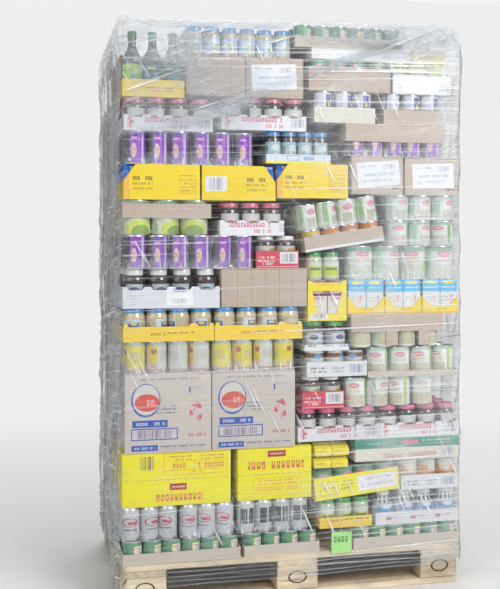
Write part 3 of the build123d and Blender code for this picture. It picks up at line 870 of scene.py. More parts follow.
# The near-white bar right of the middle is a painted highlight; the rest is print.
VEGETABLE_CAN = label(
    "vegetable_can_label", (78, 80, 75), box(24, 50, 6, 60, (88, 89, 89)), stripe(95, 5, MINT),
    box(34, 50, 5, 60, LIME), box(-36, 50, 7, 60, (44, 52, 46)), *emblem(-2, 76, 15),
    lines(-2, 54, 18, 5, (50, 46, 42)), grains(-2, 22, 28, 20, (50, 44, 30), (74, 70, 56)),
)
TALL_CAN = label(
    "beige_vegetable_can_label", (74, 75, 62), stripe(96, 4, (50, 58, 34)),
    grains(0, 42, 34, 36, (48, 48, 30), (66, 62, 44)), box(-42, 50, 6, 60, MINT),
)
SHORT_CAN = label(
    "short_vegetable_can_label", (78, 80, 76), stripe(94, 6, (40, 56, 42)), *emblem(2, 74, 17),
    grains(2, 22, 24, 20, (56, 52, 42), (70, 66, 56)), box(36, 45, 6, 44, (24, 46, 10)), box(-38, 50, 7, 60, MINT),
)
# The near-white bar right of the middle is a painted highlight; the rest is print.
PEA_CAN = label(
    "pea_can_label", (76, 79, 71), box(-22, 50, 9, 60, (34, 52, 22)), box(30, 50, 6, 60, (86, 87, 86)),
    oval(16, 72, 16, 14, ROSE), grains(12, 26, 16, 20, (40, 38, 24), (62, 58, 46)), box(40, 50, 5, 60, LIME),
)
ORANGE_CAN = label(
    "orange_can_label", (74, 36, 8), stripe(90, 10, (62, 66, 54)), oval(4, 74, 20, 14, (74, 70, 60)),
    picture(0, 30, 36, 24, (74, 42, 4), (62, 16, 4)), box(32, 8, 16, 5, SKY),
)
TOMATO_CAN = label(
    "small_orange_can_label", (62, 22, 5), stripe(11, 11, (66, 62, 52)), oval(-20, 50, 14, 20, (74, 50, 8)),
    box(16, 50, 14, 30, (68, 66, 60)), other=(66, 44, 6),
)
STRIPED_CAN = label(
    "blue_white_can_label", (66, 68, 74), box(-40, 50, 2.8, 60, (3, 4, 16)), box(18, 66, 11, 26, (5, 6, 30)),
    oval(20, 60, 6, 9, (62, 72, 8)), lines(-14, 50, 16, 22, (34, 40, 58)),
)
GREEN_TOP_CAN = label(
    "green_top_can_label", (66, 64, 52), stripe(92, 8, (5, 32, 20)), oval(0, 90, 12, 5, ROSE),
    grains(0, 30, 30, 20, (30, 40, 14), (60, 56, 36)),
)
LID_CAN = label(
    "green_lid_can_label", (44, 48, 40), stripe(92, 8, (14, 34, 22)), oval(0, 86, 14, 5, ROSE),
    oval(20, 70, 14, 10, LIME),
)
FLAT_CAN = label(
    "flat_can_label", (50, 60, 10), box(0, 62, 24, 10, (10, 20, 6)), box(42, 50, 5, 60, PAPER),
    box(-20, 22, 22, 12, PAPER),
)
DRESSING_JAR = label(
    "dressing_jar_label", (58, 50, 32), box(0, 50, 25, 60, (68, 70, 72)), box(6, 62, 16, 22, (5, 16, 50)),
    oval(6, 74, 11, 8, (74, 56, 6)), picture(-4, 26, 18, 16, SKY, (72, 72, 74)),
)
SAUCE_JAR = label("sauce_jar_label", (2, 2.5, 5), box(0, 50, 26, 42, (46, 54, 56)), oval(0, 60, 16, 18, (8, 10, 20)))
SNACK_JAR = label(
    "snack_jar_label", (60, 60, 52), box(16, 56, 14, 30, (50, 40, 6)), stripe(15, 15, (26, 12, 4)),
    oval(-14, 60, 14, 14, (14, 10, 8)),
)
SILVER_JAR = label(
    "round_snack_jar_label", (46, 48, 52), box(0, 60, 24, 26, (62, 64, 68)), oval(0, 62, 14, 16, (12, 14, 24)),
)
SPREAD_JAR = label("spread_jar_label", (6, 3, 3), box(0, 54, 36, 50, (66, 65, 64)), oval(0, 40, 18, 20, (30, 14, 8)))
BABY_JAR = label(
    "light_blue_jar_label", (40, 58, 70), oval(8, 66, 20, 18, (70, 74, 74)),
    picture(4, 28, 24, 22, (70, 50, 16), (12, 42, 62)), box(-34, 40, 8, 40, (30, 36, 12)),
)
BLUE_JAR = label(
    "small_jar_label", (44, 60, 74), oval(-8, 60, 20, 24, (70, 74, 74)),
    picture(12, 34, 18, 24, (66, 48, 30), (36, 52, 30)), other=(50, 56, 58),
)
PICKLE_JAR = label(
    "pickle_jar_label", (68, 70, 64), box(6, 36, 30, 34, (56, 66, 10)), box(6, 52, 22, 8, (16, 24, 6)),
    other=(72, 73, 70),
)
MILK_BOTTLE = label(
    "milk_bottle_sleeve", (66, 68, 76), box(4, 44, 30, 36, (10, 34, 66)), oval(4, 62, 20, 20, (74, 72, 72)),
    picture(-20, 60, 10, 12, ROSE, (24, 30, 44)), other=(50, 56, 80),
)
MILK_NECK = label(
    "striped_neck", (74, 74, 74), *(box(-42 + 21 * i, 50, 5, 900, (10, 10, 11)) for i in range(5)), roughness=0.3,
    coat=0,
)
OIL_LABEL = label(
    "oil_bottle_label", (4, 14, 18), box(-10, 86, 14, 5, (62, 60, 6)),
    picture(6, 36, 20, 26, (40, 46, 20), (5, 24, 28)), other=(40, 60, 5),
)


class Form(Enum):
    """The shapes that round goods come in."""

    CAN = "can"
    DRINK = "drink can"
    JAR = "jar"
    MILK = "milk bottle"
    OIL = "oil bottle"


@dataclass(frozen=True)
class Product:
    """Round goods of one kind: their sizes in millimetres, from the base up, and their finishes.

    Args:
        name: the piece's name.
        node: the CAD node whose packs hold them.
        steps: diameter and height of each step.
        form: their shape.
        finishes: label, body or rim, then lid.
        across: how many stand side by side, where packs of another width hold something else.
        turn: how far they are turned out of line, in turns.
    """

    name: str
    node: str
    steps: tuple[Pair, ...]
    form: Form
    finishes: tuple[Finish, ...]
    across: tuple[int, ...] = ()
    turn: float = 0.05

    @property
    def pitch(self) -> float:
        """Distance from one to the next, in metres."""
        return (max(diameter for diameter, _ in self.steps) + 0.6) / 1000

    @property
    def height(self) -> float:
        """Whole height, in metres."""
        return sum(height for _, height in self.steps) / 1000

    def fits(self, seat: Seat) -> bool:
        """Whether the pack on this seat holds this product."""
        count = round(seat.size.x / self.pitch)
        right = abs(seat.size.z - self.height) < 0.0006 and abs(seat.size.x + 0.0006 - count * self.pitch) < 0.0012
        return right and (not self.across or count in self.across)

    def template(self, steps: int, plain: bool) -> bpy.types.Mesh:
        """Spins the product.

        Args:
            steps: sides of the round.
            plain: leaves the rims out, for goods that stand inside a pack.

        Returns:
            The template mesh.
        """
        r, h = self.steps[0][0] / 2000, self.steps[0][1] / 1000
        top = self.height
        span = (0.05 * h, 0.95 * h)
        if plain:
            profile = [(0, 0, 1), (r * 0.97, 0, 0), (r * 0.99, h, 1)]
            if len(self.steps) > 1:
                q = self.steps[1][0] / 2000
                profile += [(q, h, len(self.finishes) - 1), (q, top, len(self.finishes) - 1)]
            profile.append((0, top, 1))
        elif self.form is Form.CAN:
            span = (0.004, h - 0.004)
            profile = [
                (0, 0.004, 1), (r - 0.004, 0.004, 1), (r - 0.003, 0.0, 1), (r - 0.0004, 0.0008, 1), (r, 0.0035, 1),
                (r - 0.0013, 0.0045, 0), (r - 0.0013, h - 0.0045, 1), (r, h - 0.0035, 1), (r - 0.0004, h - 0.0004, 1),
                (r - 0.0022, h, 1), (r - 0.0034, h - 0.004, 1), (r * 0.72, h - 0.0038, 1), (r * 0.68, h - 0.0028, 1),
                (0, h - 0.0028, 1),
            ]
        elif self.form is Form.DRINK:
            span = (0.008, h - 0.012)
            profile = [
                (0, 0.010, 1), (r * 0.66, 0.004, 1), (r * 0.74, 0.0, 1), (r * 0.80, 0.001, 1), (r, 0.011, 0),
                (r, h - 0.016, 0), (r * 0.95, h - 0.009, 1), (r * 0.84, h - 0.003, 1), (r * 0.84, h, 1),
                (r * 0.80, h, 1), (r * 0.78, h - 0.005, 1), (0, h - 0.005, 1),
            ]
        elif self.form is Form.JAR:
            q, z = self.steps[1][0] / 2000, h
            span = (0.14 * h, 0.80 * h)
            profile = [
                (0, 0.003, 1), (r * 0.72, 0.002, 1), (r * 0.84, 0.0, 1), (r * 0.97, 0.004, 1), (r, 0.010, 1),
                (r, 0.13 * h, 1), (r - 0.0006, 0.14 * h, 0), (r - 0.0006, 0.80 * h, 1), (r, 0.81 * h, 1),
                (r * 0.985, 0.88 * h, 1), (r * 0.94, 0.95 * h, 1), (q * 0.97, z, 1), (q * 0.97, z + 0.002, 2),
                (q, z + 0.002, 2), (q, top - 0.0025, 2), (q - 0.001, top - 0.0006, 2), (q - 0.004, top, 2),
                (q * 0.62, top - 0.0008, 2), (q * 0.55, top - 0.0002, 2), (0, top - 0.0002, 2),
            ]
        elif self.form is Form.MILK:
            q = self.steps[1][0] / 2000
            span = (0.04, h)
            profile = [
                (0, 0.003, 1), (r * 0.80, 0.0, 1), (r * 0.97, 0.004, 0), (r, 0.010, 0), (r, h * 0.80, 0),
                (r * 0.94, h * 0.95, 0), (q * 1.12, h, 1), (q * 0.92, h + 0.012, 1), (q * 0.84, top - 0.022, 1),
                (q * 0.84, top - 0.018, 2), (q, top - 0.018, 2), (q, top - 0.002, 2), (q - 0.002, top, 2),
                (0, top, 2),
            ]
        else:
            q = self.steps[1][0] / 2000
            span = (0.10 * h, 0.68 * h)
            profile = [
                (0, 0.004, 1), (r * 0.82, 0.0, 1), (r * 0.97, 0.004, 1), (r, 0.012, 1), (r, 0.09 * h, 1),
                (r - 0.0005, 0.10 * h, 0), (r - 0.0005, 0.68 * h, 1), (r, 0.69 * h, 1), (r * 0.97, 0.80 * h, 1),
                (r * 0.82, 0.91 * h, 1), (q * 1.08, h, 1), (q * 0.86, h + 0.012, 1), (q * 0.80, top - 0.026, 1),
                (q * 0.80, top - 0.022, 2), (q * 0.92, top - 0.022, 2), (q * 0.92, top - 0.002, 2),
                (q * 0.85, top, 2), (0, top, 2),
            ]
        return lathe(f"{self.name}_{steps}", profile, steps, span)


PRODUCTS: tuple[Product, ...] = (
    Product("small_cans_in_trays", "small_cans", ((65, 76),), Form.CAN, (SMALL_CAN, TIN), turn=0.025),
    Product("bean_cans", "small_cans", ((71, 88),), Form.CAN, (BEAN_CAN, TIN), turn=0.12),
    Product("drink_cans_three_wide", "drink_cans", ((62, 113),), Form.DRINK, (DRINK_CAN, ALUMINIUM), (3,), turn=0.1),
    Product("drink_cans_four_wide", "drink_cans", ((62, 113),), Form.DRINK, (GREY_CAN, ALUMINIUM), (4,), turn=0.05),
    Product("soup_cans_in_film", "soup_cans", ((72.4, 106),), Form.CAN, (SOUP_CAN, TIN), turn=0.16),
    Product(
        "dressing_jars_blue_lids", "dressing_jars", ((75, 92), (68, 17)), Form.JAR,
        (DRESSING_JAR, BEIGE_CONTENTS, BLUE_LID), turn=0.2,
    ),
    Product(
        "sauce_jars_white_lids", "sauce_jars", ((80, 106), (60, 24)), Form.JAR, (SAUCE_JAR, DARK_CONTENTS, WHITE_LID),
    ),
    Product("purple_cans_in_film", "purple_cans", ((72.4, 112),), Form.CAN, (PURPLE_CAN, ALUMINIUM), turn=0.03),
    Product("big_vegetable_cans", "big_cans", ((101.5, 120),), Form.CAN, (BIG_CAN, TIN), turn=0.1),
    Product("banded_cans_green", "banded_cans", ((97.4, 119),), Form.CAN, (BANDED_CAN, TIN), turn=0.1),
    Product(
        "snack_jars_tall", "snack_jars", ((72, 94), (60, 15)), Form.JAR, (SNACK_JAR, DARK_CONTENTS, WHITE_LID),
        turn=0.06,
    ),
    Product(
        "snack_jars_round", "snack_jars", ((78, 82), (66, 20)), Form.JAR, (SILVER_JAR, DARK_CONTENTS, GREEN_LID),
        turn=0.1,
    ),
    Product(
        "spread_jars_berry_lids", "spread_jars", ((73, 92), (64, 18)), Form.JAR,
        (SPREAD_JAR, DARK_CONTENTS, BERRY_LID),
    ),
    Product(
        "light_blue_jars", "baby_jars", ((56, 92), (50, 18)), Form.JAR, (BABY_JAR, DARK_CONTENTS, BLUE_LID),
        turn=0.05,
    ),
    Product(
        "oil_bottles_tall", "oil_bottles", ((67, 158), (34, 61)), Form.OIL, (OIL_LABEL, OIL_GLASS, GREEN_CAP),
        turn=0.04,
    ),
    Product(
        "small_jars_blue_lids", "blue_lid_jars", ((61, 78), (54, 19)), Form.JAR,
        (BLUE_JAR, BEIGE_CONTENTS, BLUE_LID), turn=0.06,
    ),
    Product(
        "pickle_jars_green_lids", "pickle_jars", ((62, 80), (54, 17)), Form.JAR,
        (PICKLE_JAR, GREEN_CONTENTS, GREEN_LID), turn=0.06,
    ),
    Product(
        "milk_bottles_striped_necks", "milk_bottles", ((77, 72), (50, 44)), Form.MILK,
        (MILK_BOTTLE, MILK_NECK, WHITE_LID), turn=0.05,
    ),
    Product("green_lid_cans", "green_top_cans", ((76, 98),), Form.CAN, (LID_CAN, GREEN_LACQUER), turn=0.08),
    Product(
        "green_top_cans_in_tray", "green_top_cans", ((73, 104),), Form.CAN, (GREEN_TOP_CAN, GREEN_LACQUER), turn=0.08,
    ),
    Product("flat_cans", "green_top_cans", ((68, 42),), Form.CAN, (FLAT_CAN, TIN), turn=0.1),
    Product("orange_cans", "tomato_cans", ((71, 104),), Form.CAN, (ORANGE_CAN, TIN), turn=0.08),
    Product("small_orange_cans", "tomato_cans", ((71, 72),), Form.CAN, (TOMATO_CAN, TIN), turn=0.08),
    Product("vegetable_cans_green", "vegetable_cans", ((84, 103),), Form.CAN, (VEGETABLE_CAN, TIN), turn=0.15),
    Product("vegetable_cans_beige", "vegetable_cans", ((84, 116),), Form.CAN, (TALL_CAN, TIN), turn=0.08),
    Product("short_cans", "short_vegetable_cans", ((86, 90),), Form.CAN, (SHORT_CAN, TIN), turn=0.13),
    Product("pea_cans", "short_vegetable_cans", ((73, 90),), Form.CAN, (PEA_CAN, TIN), turn=0.1),
    Product("blue_white_cans_in_trays", "blue_white_cans", ((72.4, 108),), Form.CAN, (STRIPED_CAN, TIN), turn=0.06),
)


@dataclass
class Dressing:
    """One kind of pieces of the load: where its packs stand, and the finishes."""

    seats: dict[str, list[Seat]]
    palette: Palette

    def build(self) -> None:
        """Builds the pieces."""
        raise NotImplementedError


@dataclass
class RoundGoods(Dressing):
    """All cans, jars and bottles."""

    sides: int = 28
    inner_sides: int = 12
    seed: int = 7

    def build(self) -> None:
        """Builds one mesh for each product."""
        for product in PRODUCTS:
            self.build_product(product)

    def build_product(self, product: Product) -> None:
        """Stamps a product into all of its packs.

        Args:
            product: what to stamp.
        """
        rng = random.Random(self.seed)
        fine, coarse = product.template(self.sides, False), product.template(self.inner_sides, True)
        piece = Assembly(product.name, product.finishes, self.palette)
        pitch, total = product.pitch, 0
        for seat in self.seats[product.node]:
            if not product.fits(seat):
                continue
            across, deep = round(seat.size.x / pitch), max(1, round(seat.size.y / pitch))
            for j in range(deep):
                for i in range(across):
                    outer = j == 0 or i in (0, across - 1)
                    x, y = (i + 0.5) * pitch - 0.0003, (j + 0.5) * pitch - 0.0003
                    turn = Matrix.Rotation(math.tau * rng.gauss(0, product.turn), 4, "Z")
                    place = seat.matrix @ Matrix.Translation((x, y, 0)) @ turn
                    piece.stamp(fine if outer else coarse, place, rng.random())
                    total += 1
        piece.finish([product.node])
        log.info("%s: %d placed", product.name, total)


# Board finishes

INK_BLUE: Colour = (4, 10, 42)


def board(name: str, ground: Colour, *marks: Mark, flute: bool = False, roughness: float = 0.45) -> PrintedFinish:
    """Board with print. Marks are in millimetres from the middle of the base of each face."""
    return PrintedFinish(name, ground, marks, roughness, flute)


GREY_INK: Colour = (30, 30, 34)
TAN_INK: Colour = (42, 24, 4)
LEMON: Colour = (85, 76, 3)
GOLD: Colour = (87, 65, 1.5)

KRAFT_BOARD = board("kraft_board", KRAFT, flute=True, roughness=0.7)
KRAFT_PALE = board("pale_kraft_board", (60, 53, 45), flute=True, roughness=0.7)
KRAFT_EDGED = board("kraft_board_white_edge", KRAFT, stripe(4, 5.5, (78, 78, 77)), flute=True, roughness=0.7)
KRAFT_CARTON = board(
    "scored_kraft_board", KRAFT, *(box(x, 70, 1.1, 90, (36, 28, 21)) for x in (-95, -45, 4, 52, 98)), flute=True,
    roughness=0.68,
)
KRAFT_PRINTED = board(
    "kraft_board_printed", (54, 45, 38), lines(85, 30, 30, 12, (20, 12, 7)), flute=True, roughness=0.7,
)
DRESSING_BOARD = board(
    "dressing_tray_board", (86, 61, 6), word(-38, 25, 26, 4.5, TAN_INK), lines(40, 26, 46, 4.5, TAN_INK),
    stripe(58, 1.8, (90, 74, 30)),
)
SAUCE_BOARD = board(
    "sauce_tray_board", (70, 71, 75), lines(-130, 30, 12, 20, (56, 60, 60)), box(27, 41, 45, 31, (86, 86, 86)),
    word(27, 60, 21, 6, (8, 12, 42)), bars(27, 24, 28, 8, (50, 52, 58)),
)
MILK_BOARD = board(
    "milk_tray_board", (76, 77, 79), *(box(x, 22, 10, 6, (62, 20, 24)) for x in (-108, -16, 78)),
    *(lines(x, 22, 17, 6, (60, 40, 42)) for x in (-76, 16, 110)),
)
PLAIN_WHITE_BOARD = board(
    "white_tray_board", (76, 77, 78), bars(72, 26, 28, 14, (26, 30, 48)), lines(-66, 26, 30, 12, GREY_INK),
    lines(4, 26, 22, 12, (46, 48, 54)),
)
SPREAD_BOARD = board(
    "spread_tray_board", (76, 75, 78), picture(-129, 26, 13, 18, (66, 10, 16), (74, 62, 64)),
    word(-9, 36, 72, 8, (60, 17, 24)), word(36, 15, 31, 5.8, (62, 24, 30)), bars(119, 27, 24, 14, (34, 34, 40)),
)
RED_BOARD = board(
    "red_tray_board", (64, 6, 11), box(40, 36, 32, 20, (78, 77, 77)), bars(40, 36, 26, 14, GREY_INK),
    lines(-42, 34, 32, 12, (78, 52, 52)), word(-36, 16, 18, 5, (80, 66, 64)), stripe(5, 1, (80, 60, 62)),
)
CORNER_BOARD = board(
    "corner_cut_tray_board", GOLD, box(-118, 30, 10, 60, (84, 48, 8)), word(-65, 71, 33, 6.2, (12, 7, 2)),
    word(-65, 53, 36, 4, TAN_INK), word(-65, 36, 34, 3.6, TAN_INK), frame(87, 52, 28, 30, TAN_INK),
    lines(87, 52, 22, 24, (60, 40, 5)),
)
LABELLED_CORNER_BOARD = board(
    "corner_cut_tray_labelled", GOLD, box(-79, 56, 37, 25, (80, 80, 80)), bars(-79, 56, 27, 20, (40, 40, 44)),
    word(60, 71, 33, 6.2, (12, 7, 2)), word(60, 53, 36, 4, TAN_INK), word(60, 36, 34, 3.6, TAN_INK),
)
PALE_BOARD = board(
    "pale_tray_board", (62, 72, 80), stripe(4, 6, (84, 74, 10)), frame(-20, 20, 22, 8.5, (5, 22, 60)),
    word(40, 19, 22, 6, (5, 22, 60)),
)
OIL_BOARD = board(
    "oil_tray_board", (84, 62, 14), box(-90, 30, 18, 50, (88, 64, 2)), lines(20, 28, 50, 10, (50, 36, 16)),
)
LID_CAN_BOARD = board(
    "lid_can_tray_board", LEMON, box(74, 38, 71, 26, (80, 80, 82)), word(74, 30, 58, 4.5, (46, 46, 54)),
    lines(74, 48, 50, 6, (52, 52, 58)), frame(-103, 36, 34, 22, (34, 36, 5)), lines(-103, 36, 22, 6, (40, 40, 6)),
    lines(-36, 40, 24, 18, (44, 46, 8)),
)
VEE_BOARD = board("vee_cut_tray_board", (87, 66, 3), stripe(3, 3, (80, 44, 2)), lines(10, 14, 22, 5, (66, 40, 5)))
WINDOW_BOARD = board(
    "window_tray_board", (87, 70, 2), box(-30, 16, 32, 10, (80, 78, 74)), bars(-30, 16, 25, 7.5, GREY_INK),
    lines(0, 124, 50, 5, (74, 52, 4)),
)
CREAM_BOARD = board("cream_tray_board", (72, 69, 60), stripe(52, 1.6, (80, 79, 74)), flute=True, roughness=0.6)
DASHES = tuple(box(20 * i - 170, 88, 6.2, 0.9, (30, 26, 4)) for i in range(18))
SEASONING_BOARD = board(
    "seasoning_carton_board", LEMON, *DASHES, bars(-100, 145, 27, 23, (24, 20, 14)),
    frame(64, 139, 108, 36, (72, 30, 4)), lines(10, 161, 40, 10, (66, 38, 6)), lines(120, 161, 42, 10, (66, 38, 6)),
    box(64, 147, 108, 0.8, (72, 30, 4)), word(8, 132, 36, 8.5, (68, 24, 5)), word(116, 132, 46, 8.5, (68, 24, 5)),
    box(64, 118, 108, 0.8, (72, 30, 4)), box(60, 132, 0.8, 15, (72, 30, 4)), lines(70, 110, 20, 4, (72, 36, 6)),
    box(4, 63, 29, 11, (42, 5, 8)), box(4, 63, 22, 2, (72, 56, 20)), word(6, 28, 81, 11.5, (62, 20, 8)),
)
SEASONING_TURNED = board(
    "seasoning_carton_other_side", LEMON, *DASHES, box(6, 157, 32, 11, (42, 5, 8)), box(6, 157, 24, 2, (72, 56, 20)),
    word(4, 118, 100, 13, (62, 20, 8)), frame(10, 47, 86, 27, (76, 46, 5)), lines(10, 62, 70, 10, (74, 46, 6)),
    word(10, 38, 76, 7.5, (76, 46, 6)),
)
CLEANER_BOARD = board(
    "cleaner_carton_board", (60, 54, 49), lines(0, 243, 106, 5.5, (32, 31, 33)), oval(-76, 176, 49, 56, INK_BLUE),
    oval(-75, 178, 44.5, 51, (66, 62, 58)), oval(-72, 168, 41, 29, (66, 10, 8)),
    word(-74, 168, 30, 10, (72, 46, 42)), lines(-8, 142, 34, 18, GREY_INK), box(72, 208, 3, 10, INK_BLUE),
    lines(98, 214, 20, 6, (44, 44, 48)), picture(93, 130, 22, 38, (58, 10, 12), (62, 52, 52)),
    box(-62, 97.5, 59, 12, INK_BLUE), word(-62, 97.5, 50, 5, (60, 62, 70)), box(-47, 62.7, 78, 19.5, INK_BLUE),
    box(-47, 62.7, 74.5, 16, (60, 56, 54)), bars(-47, 62.7, 60, 14, (24, 18, 30)), word(93, 56, 32, 5, (62, 12, 14)),
    box(-80, 17.2, 44, 9.5, INK_BLUE), word(-80, 17.2, 36, 4, (60, 62, 70)), lines(50, 18, 78, 5.5, (26, 26, 34)),
)
PASTA_BOARD = board(
    "pasta_carton_board", (72, 67, 57), stripe(64, 20, (6, 27, 21)), stripe(80, 3, (10, 34, 24)),
    box(12, 62, 28, 8, (66, 20, 24)), lines(110, 64, 55, 5, (50, 62, 52)), lines(-100, 58, 50, 5, (30, 48, 40)),
    word(9, 18, 100, 8.5, (52, 18, 12)), picture(-130, 18, 30, 10, (70, 60, 44), (74, 70, 60)),
    bars(152, 24, 23, 16, (36, 32, 44)),
)
WHITE_BOARD = board(
    "white_carton_board", (78, 78, 79), bars(90, 22, 24, 13, (34, 38, 48)), lines(-50, 20, 45, 6, (62, 64, 68)),
)
YELLOW_BOARD = board(
    "yellow_carton_board", (84, 70, 28), stripe(46, 6, (80, 77, 62)), lines(20, 20, 36, 8, (66, 46, 16)),
)
SHIPPING_LABEL = board(
    "shipping_label", (78, 79, 84), bars(40, 68, 22, 9, (44, 46, 54)), lines(-36, 70, 30, 6, (50, 52, 58)),
    word(2, 43, 56, 4.2, (36, 38, 46)), lines(-10, 18, 56, 8, (58, 60, 66)), roughness=0.5,
)
SOUP_PACKET = board(
    "soup_packet_film", (86, 74, 4), lines(0, 30, 32, 5, (66, 40, 5)), stripe(41, 3.5, (80, 62, 3)),
    lines(-10, 14, 22, 5, (70, 50, 6)), roughness=0.25,
)
SQUEEZE_PACK = board(
    "squeeze_pack_film", (3, 16, 60), box(0, 70, 10, 40, (74, 76, 80)), oval(0, 50, 20, 16, (74, 58, 10)),
    roughness=0.22,
)
MEAL_PACKET = board(
    "meal_packet_board", (76, 77, 74), stripe(100, 24, (10, 48, 78)), oval(0, 108, 22, 5.5, (84, 66, 4)),
    lines(0, 88, 24, 5, (60, 74, 80)), picture(12, 50, 13, 13, (68, 26, 40), (80, 74, 70)),
    lines(-14, 52, 12, 10, (60, 62, 60)), box(-31.8, 60, 1.2, 60, (10, 48, 78)), roughness=0.3,
)
DESSERT_PACKET = board(
    "dessert_packet_board", (74, 68, 66), stripe(112, 28, (20, 3, 7)), oval(0, 100, 22, 7, (62, 42, 34)),
    picture(4, 52, 18, 18, (70, 56, 54), (80, 76, 74)), box(-32.5, 60, 1.4, 70, (24, 3, 8)),
    lines(0, 74, 18, 5, (44, 20, 24)), roughness=0.3,
)
PACKING_TAPE = PlainFinish("packing_tape", (36, 23, 12), 0.22, coat=0.5, mottle=0.1)
CARD_EDGE = PlainFinish("cut_board_edge", (50, 40, 28), 0.8, mottle=0.2, grain=400)
NOTE_PAPER = board("note_paper", (44, 80, 30), word(-2, 48, 26, 10, (14, 30, 14)), roughness=0.6)


# Trays and cartons


class Cut(Enum):
    """How a tray's front and back walls are cut."""

    PLAIN = "plain"
    TABBED = "tabbed"
    CORNER = "corner"
    NOTCHED = "notched"
    LOW_VEE = "low vee"
    WINDOW = "window"
    CAP = "cap"
    BAND = "band"


@dataclass(frozen=True)
class TrayDesign:
    """One kind of tray of a CAD node, known by its height.

    Args:
        height: its height.
        finish: its print.
        cut: how its walls are cut.
        pitch: from one notch to the next.
        wall: height of its walls, where they are lower.
        right: the print of those that stand to the right of split.
        mirrored: the print of those that are cut at the right.
    """

    height: float
    finish: Finish
    cut: Cut = Cut.PLAIN
    pitch: float = 0.0
    wall: float = 0.0
    right: Finish | None = None
    split: float = 0.0
    mirrored: Finish | None = None


TRAYS: dict[str, tuple[TrayDesign, ...]] = {
    "kraft_trays": (
        TrayDesign(0.038, KRAFT_PALE), TrayDesign(0.052, KRAFT_EDGED), TrayDesign(0.084, KRAFT_BOARD),
        TrayDesign(0.022, KRAFT_PALE),
    ),
    "dressing_trays": (TrayDesign(0.06, DRESSING_BOARD, Cut.TABBED, wall=0.05),),
    "white_trays": (
        TrayDesign(0.072, SAUCE_BOARD, Cut.NOTCHED, 0.0806), TrayDesign(0.044, MILK_BOARD),
        TrayDesign(0.052, PLAIN_WHITE_BOARD), TrayDesign(0.022, PLAIN_WHITE_BOARD),
    ),
    "spread_trays": (TrayDesign(0.052, SPREAD_BOARD, Cut.NOTCHED, 0.0736),),
    "red_trays": (TrayDesign(0.06, RED_BOARD),),
    "corner_cut_trays": (TrayDesign(0.118, CORNER_BOARD, Cut.CORNER, mirrored=LABELLED_CORNER_BOARD),),
    "pale_tray": (TrayDesign(0.032, PALE_BOARD),),
    "yellow_trays": (
        TrayDesign(0.058, OIL_BOARD), TrayDesign(0.038, DRESSING_BOARD), TrayDesign(0.078, LID_CAN_BOARD),
    ),
    "vee_cut_trays": (TrayDesign(0.118, VEE_BOARD, Cut.LOW_VEE), TrayDesign(0.14, WINDOW_BOARD, Cut.WINDOW)),
    "cream_trays": (TrayDesign(0.054, CREAM_BOARD, right=KRAFT_BOARD, split=0.3),),
    "kraft_caps": (TrayDesign(0.062, KRAFT_BOARD, Cut.CAP),),
    "kraft_bands": (TrayDesign(0.048, KRAFT_BOARD, Cut.BAND),),
}


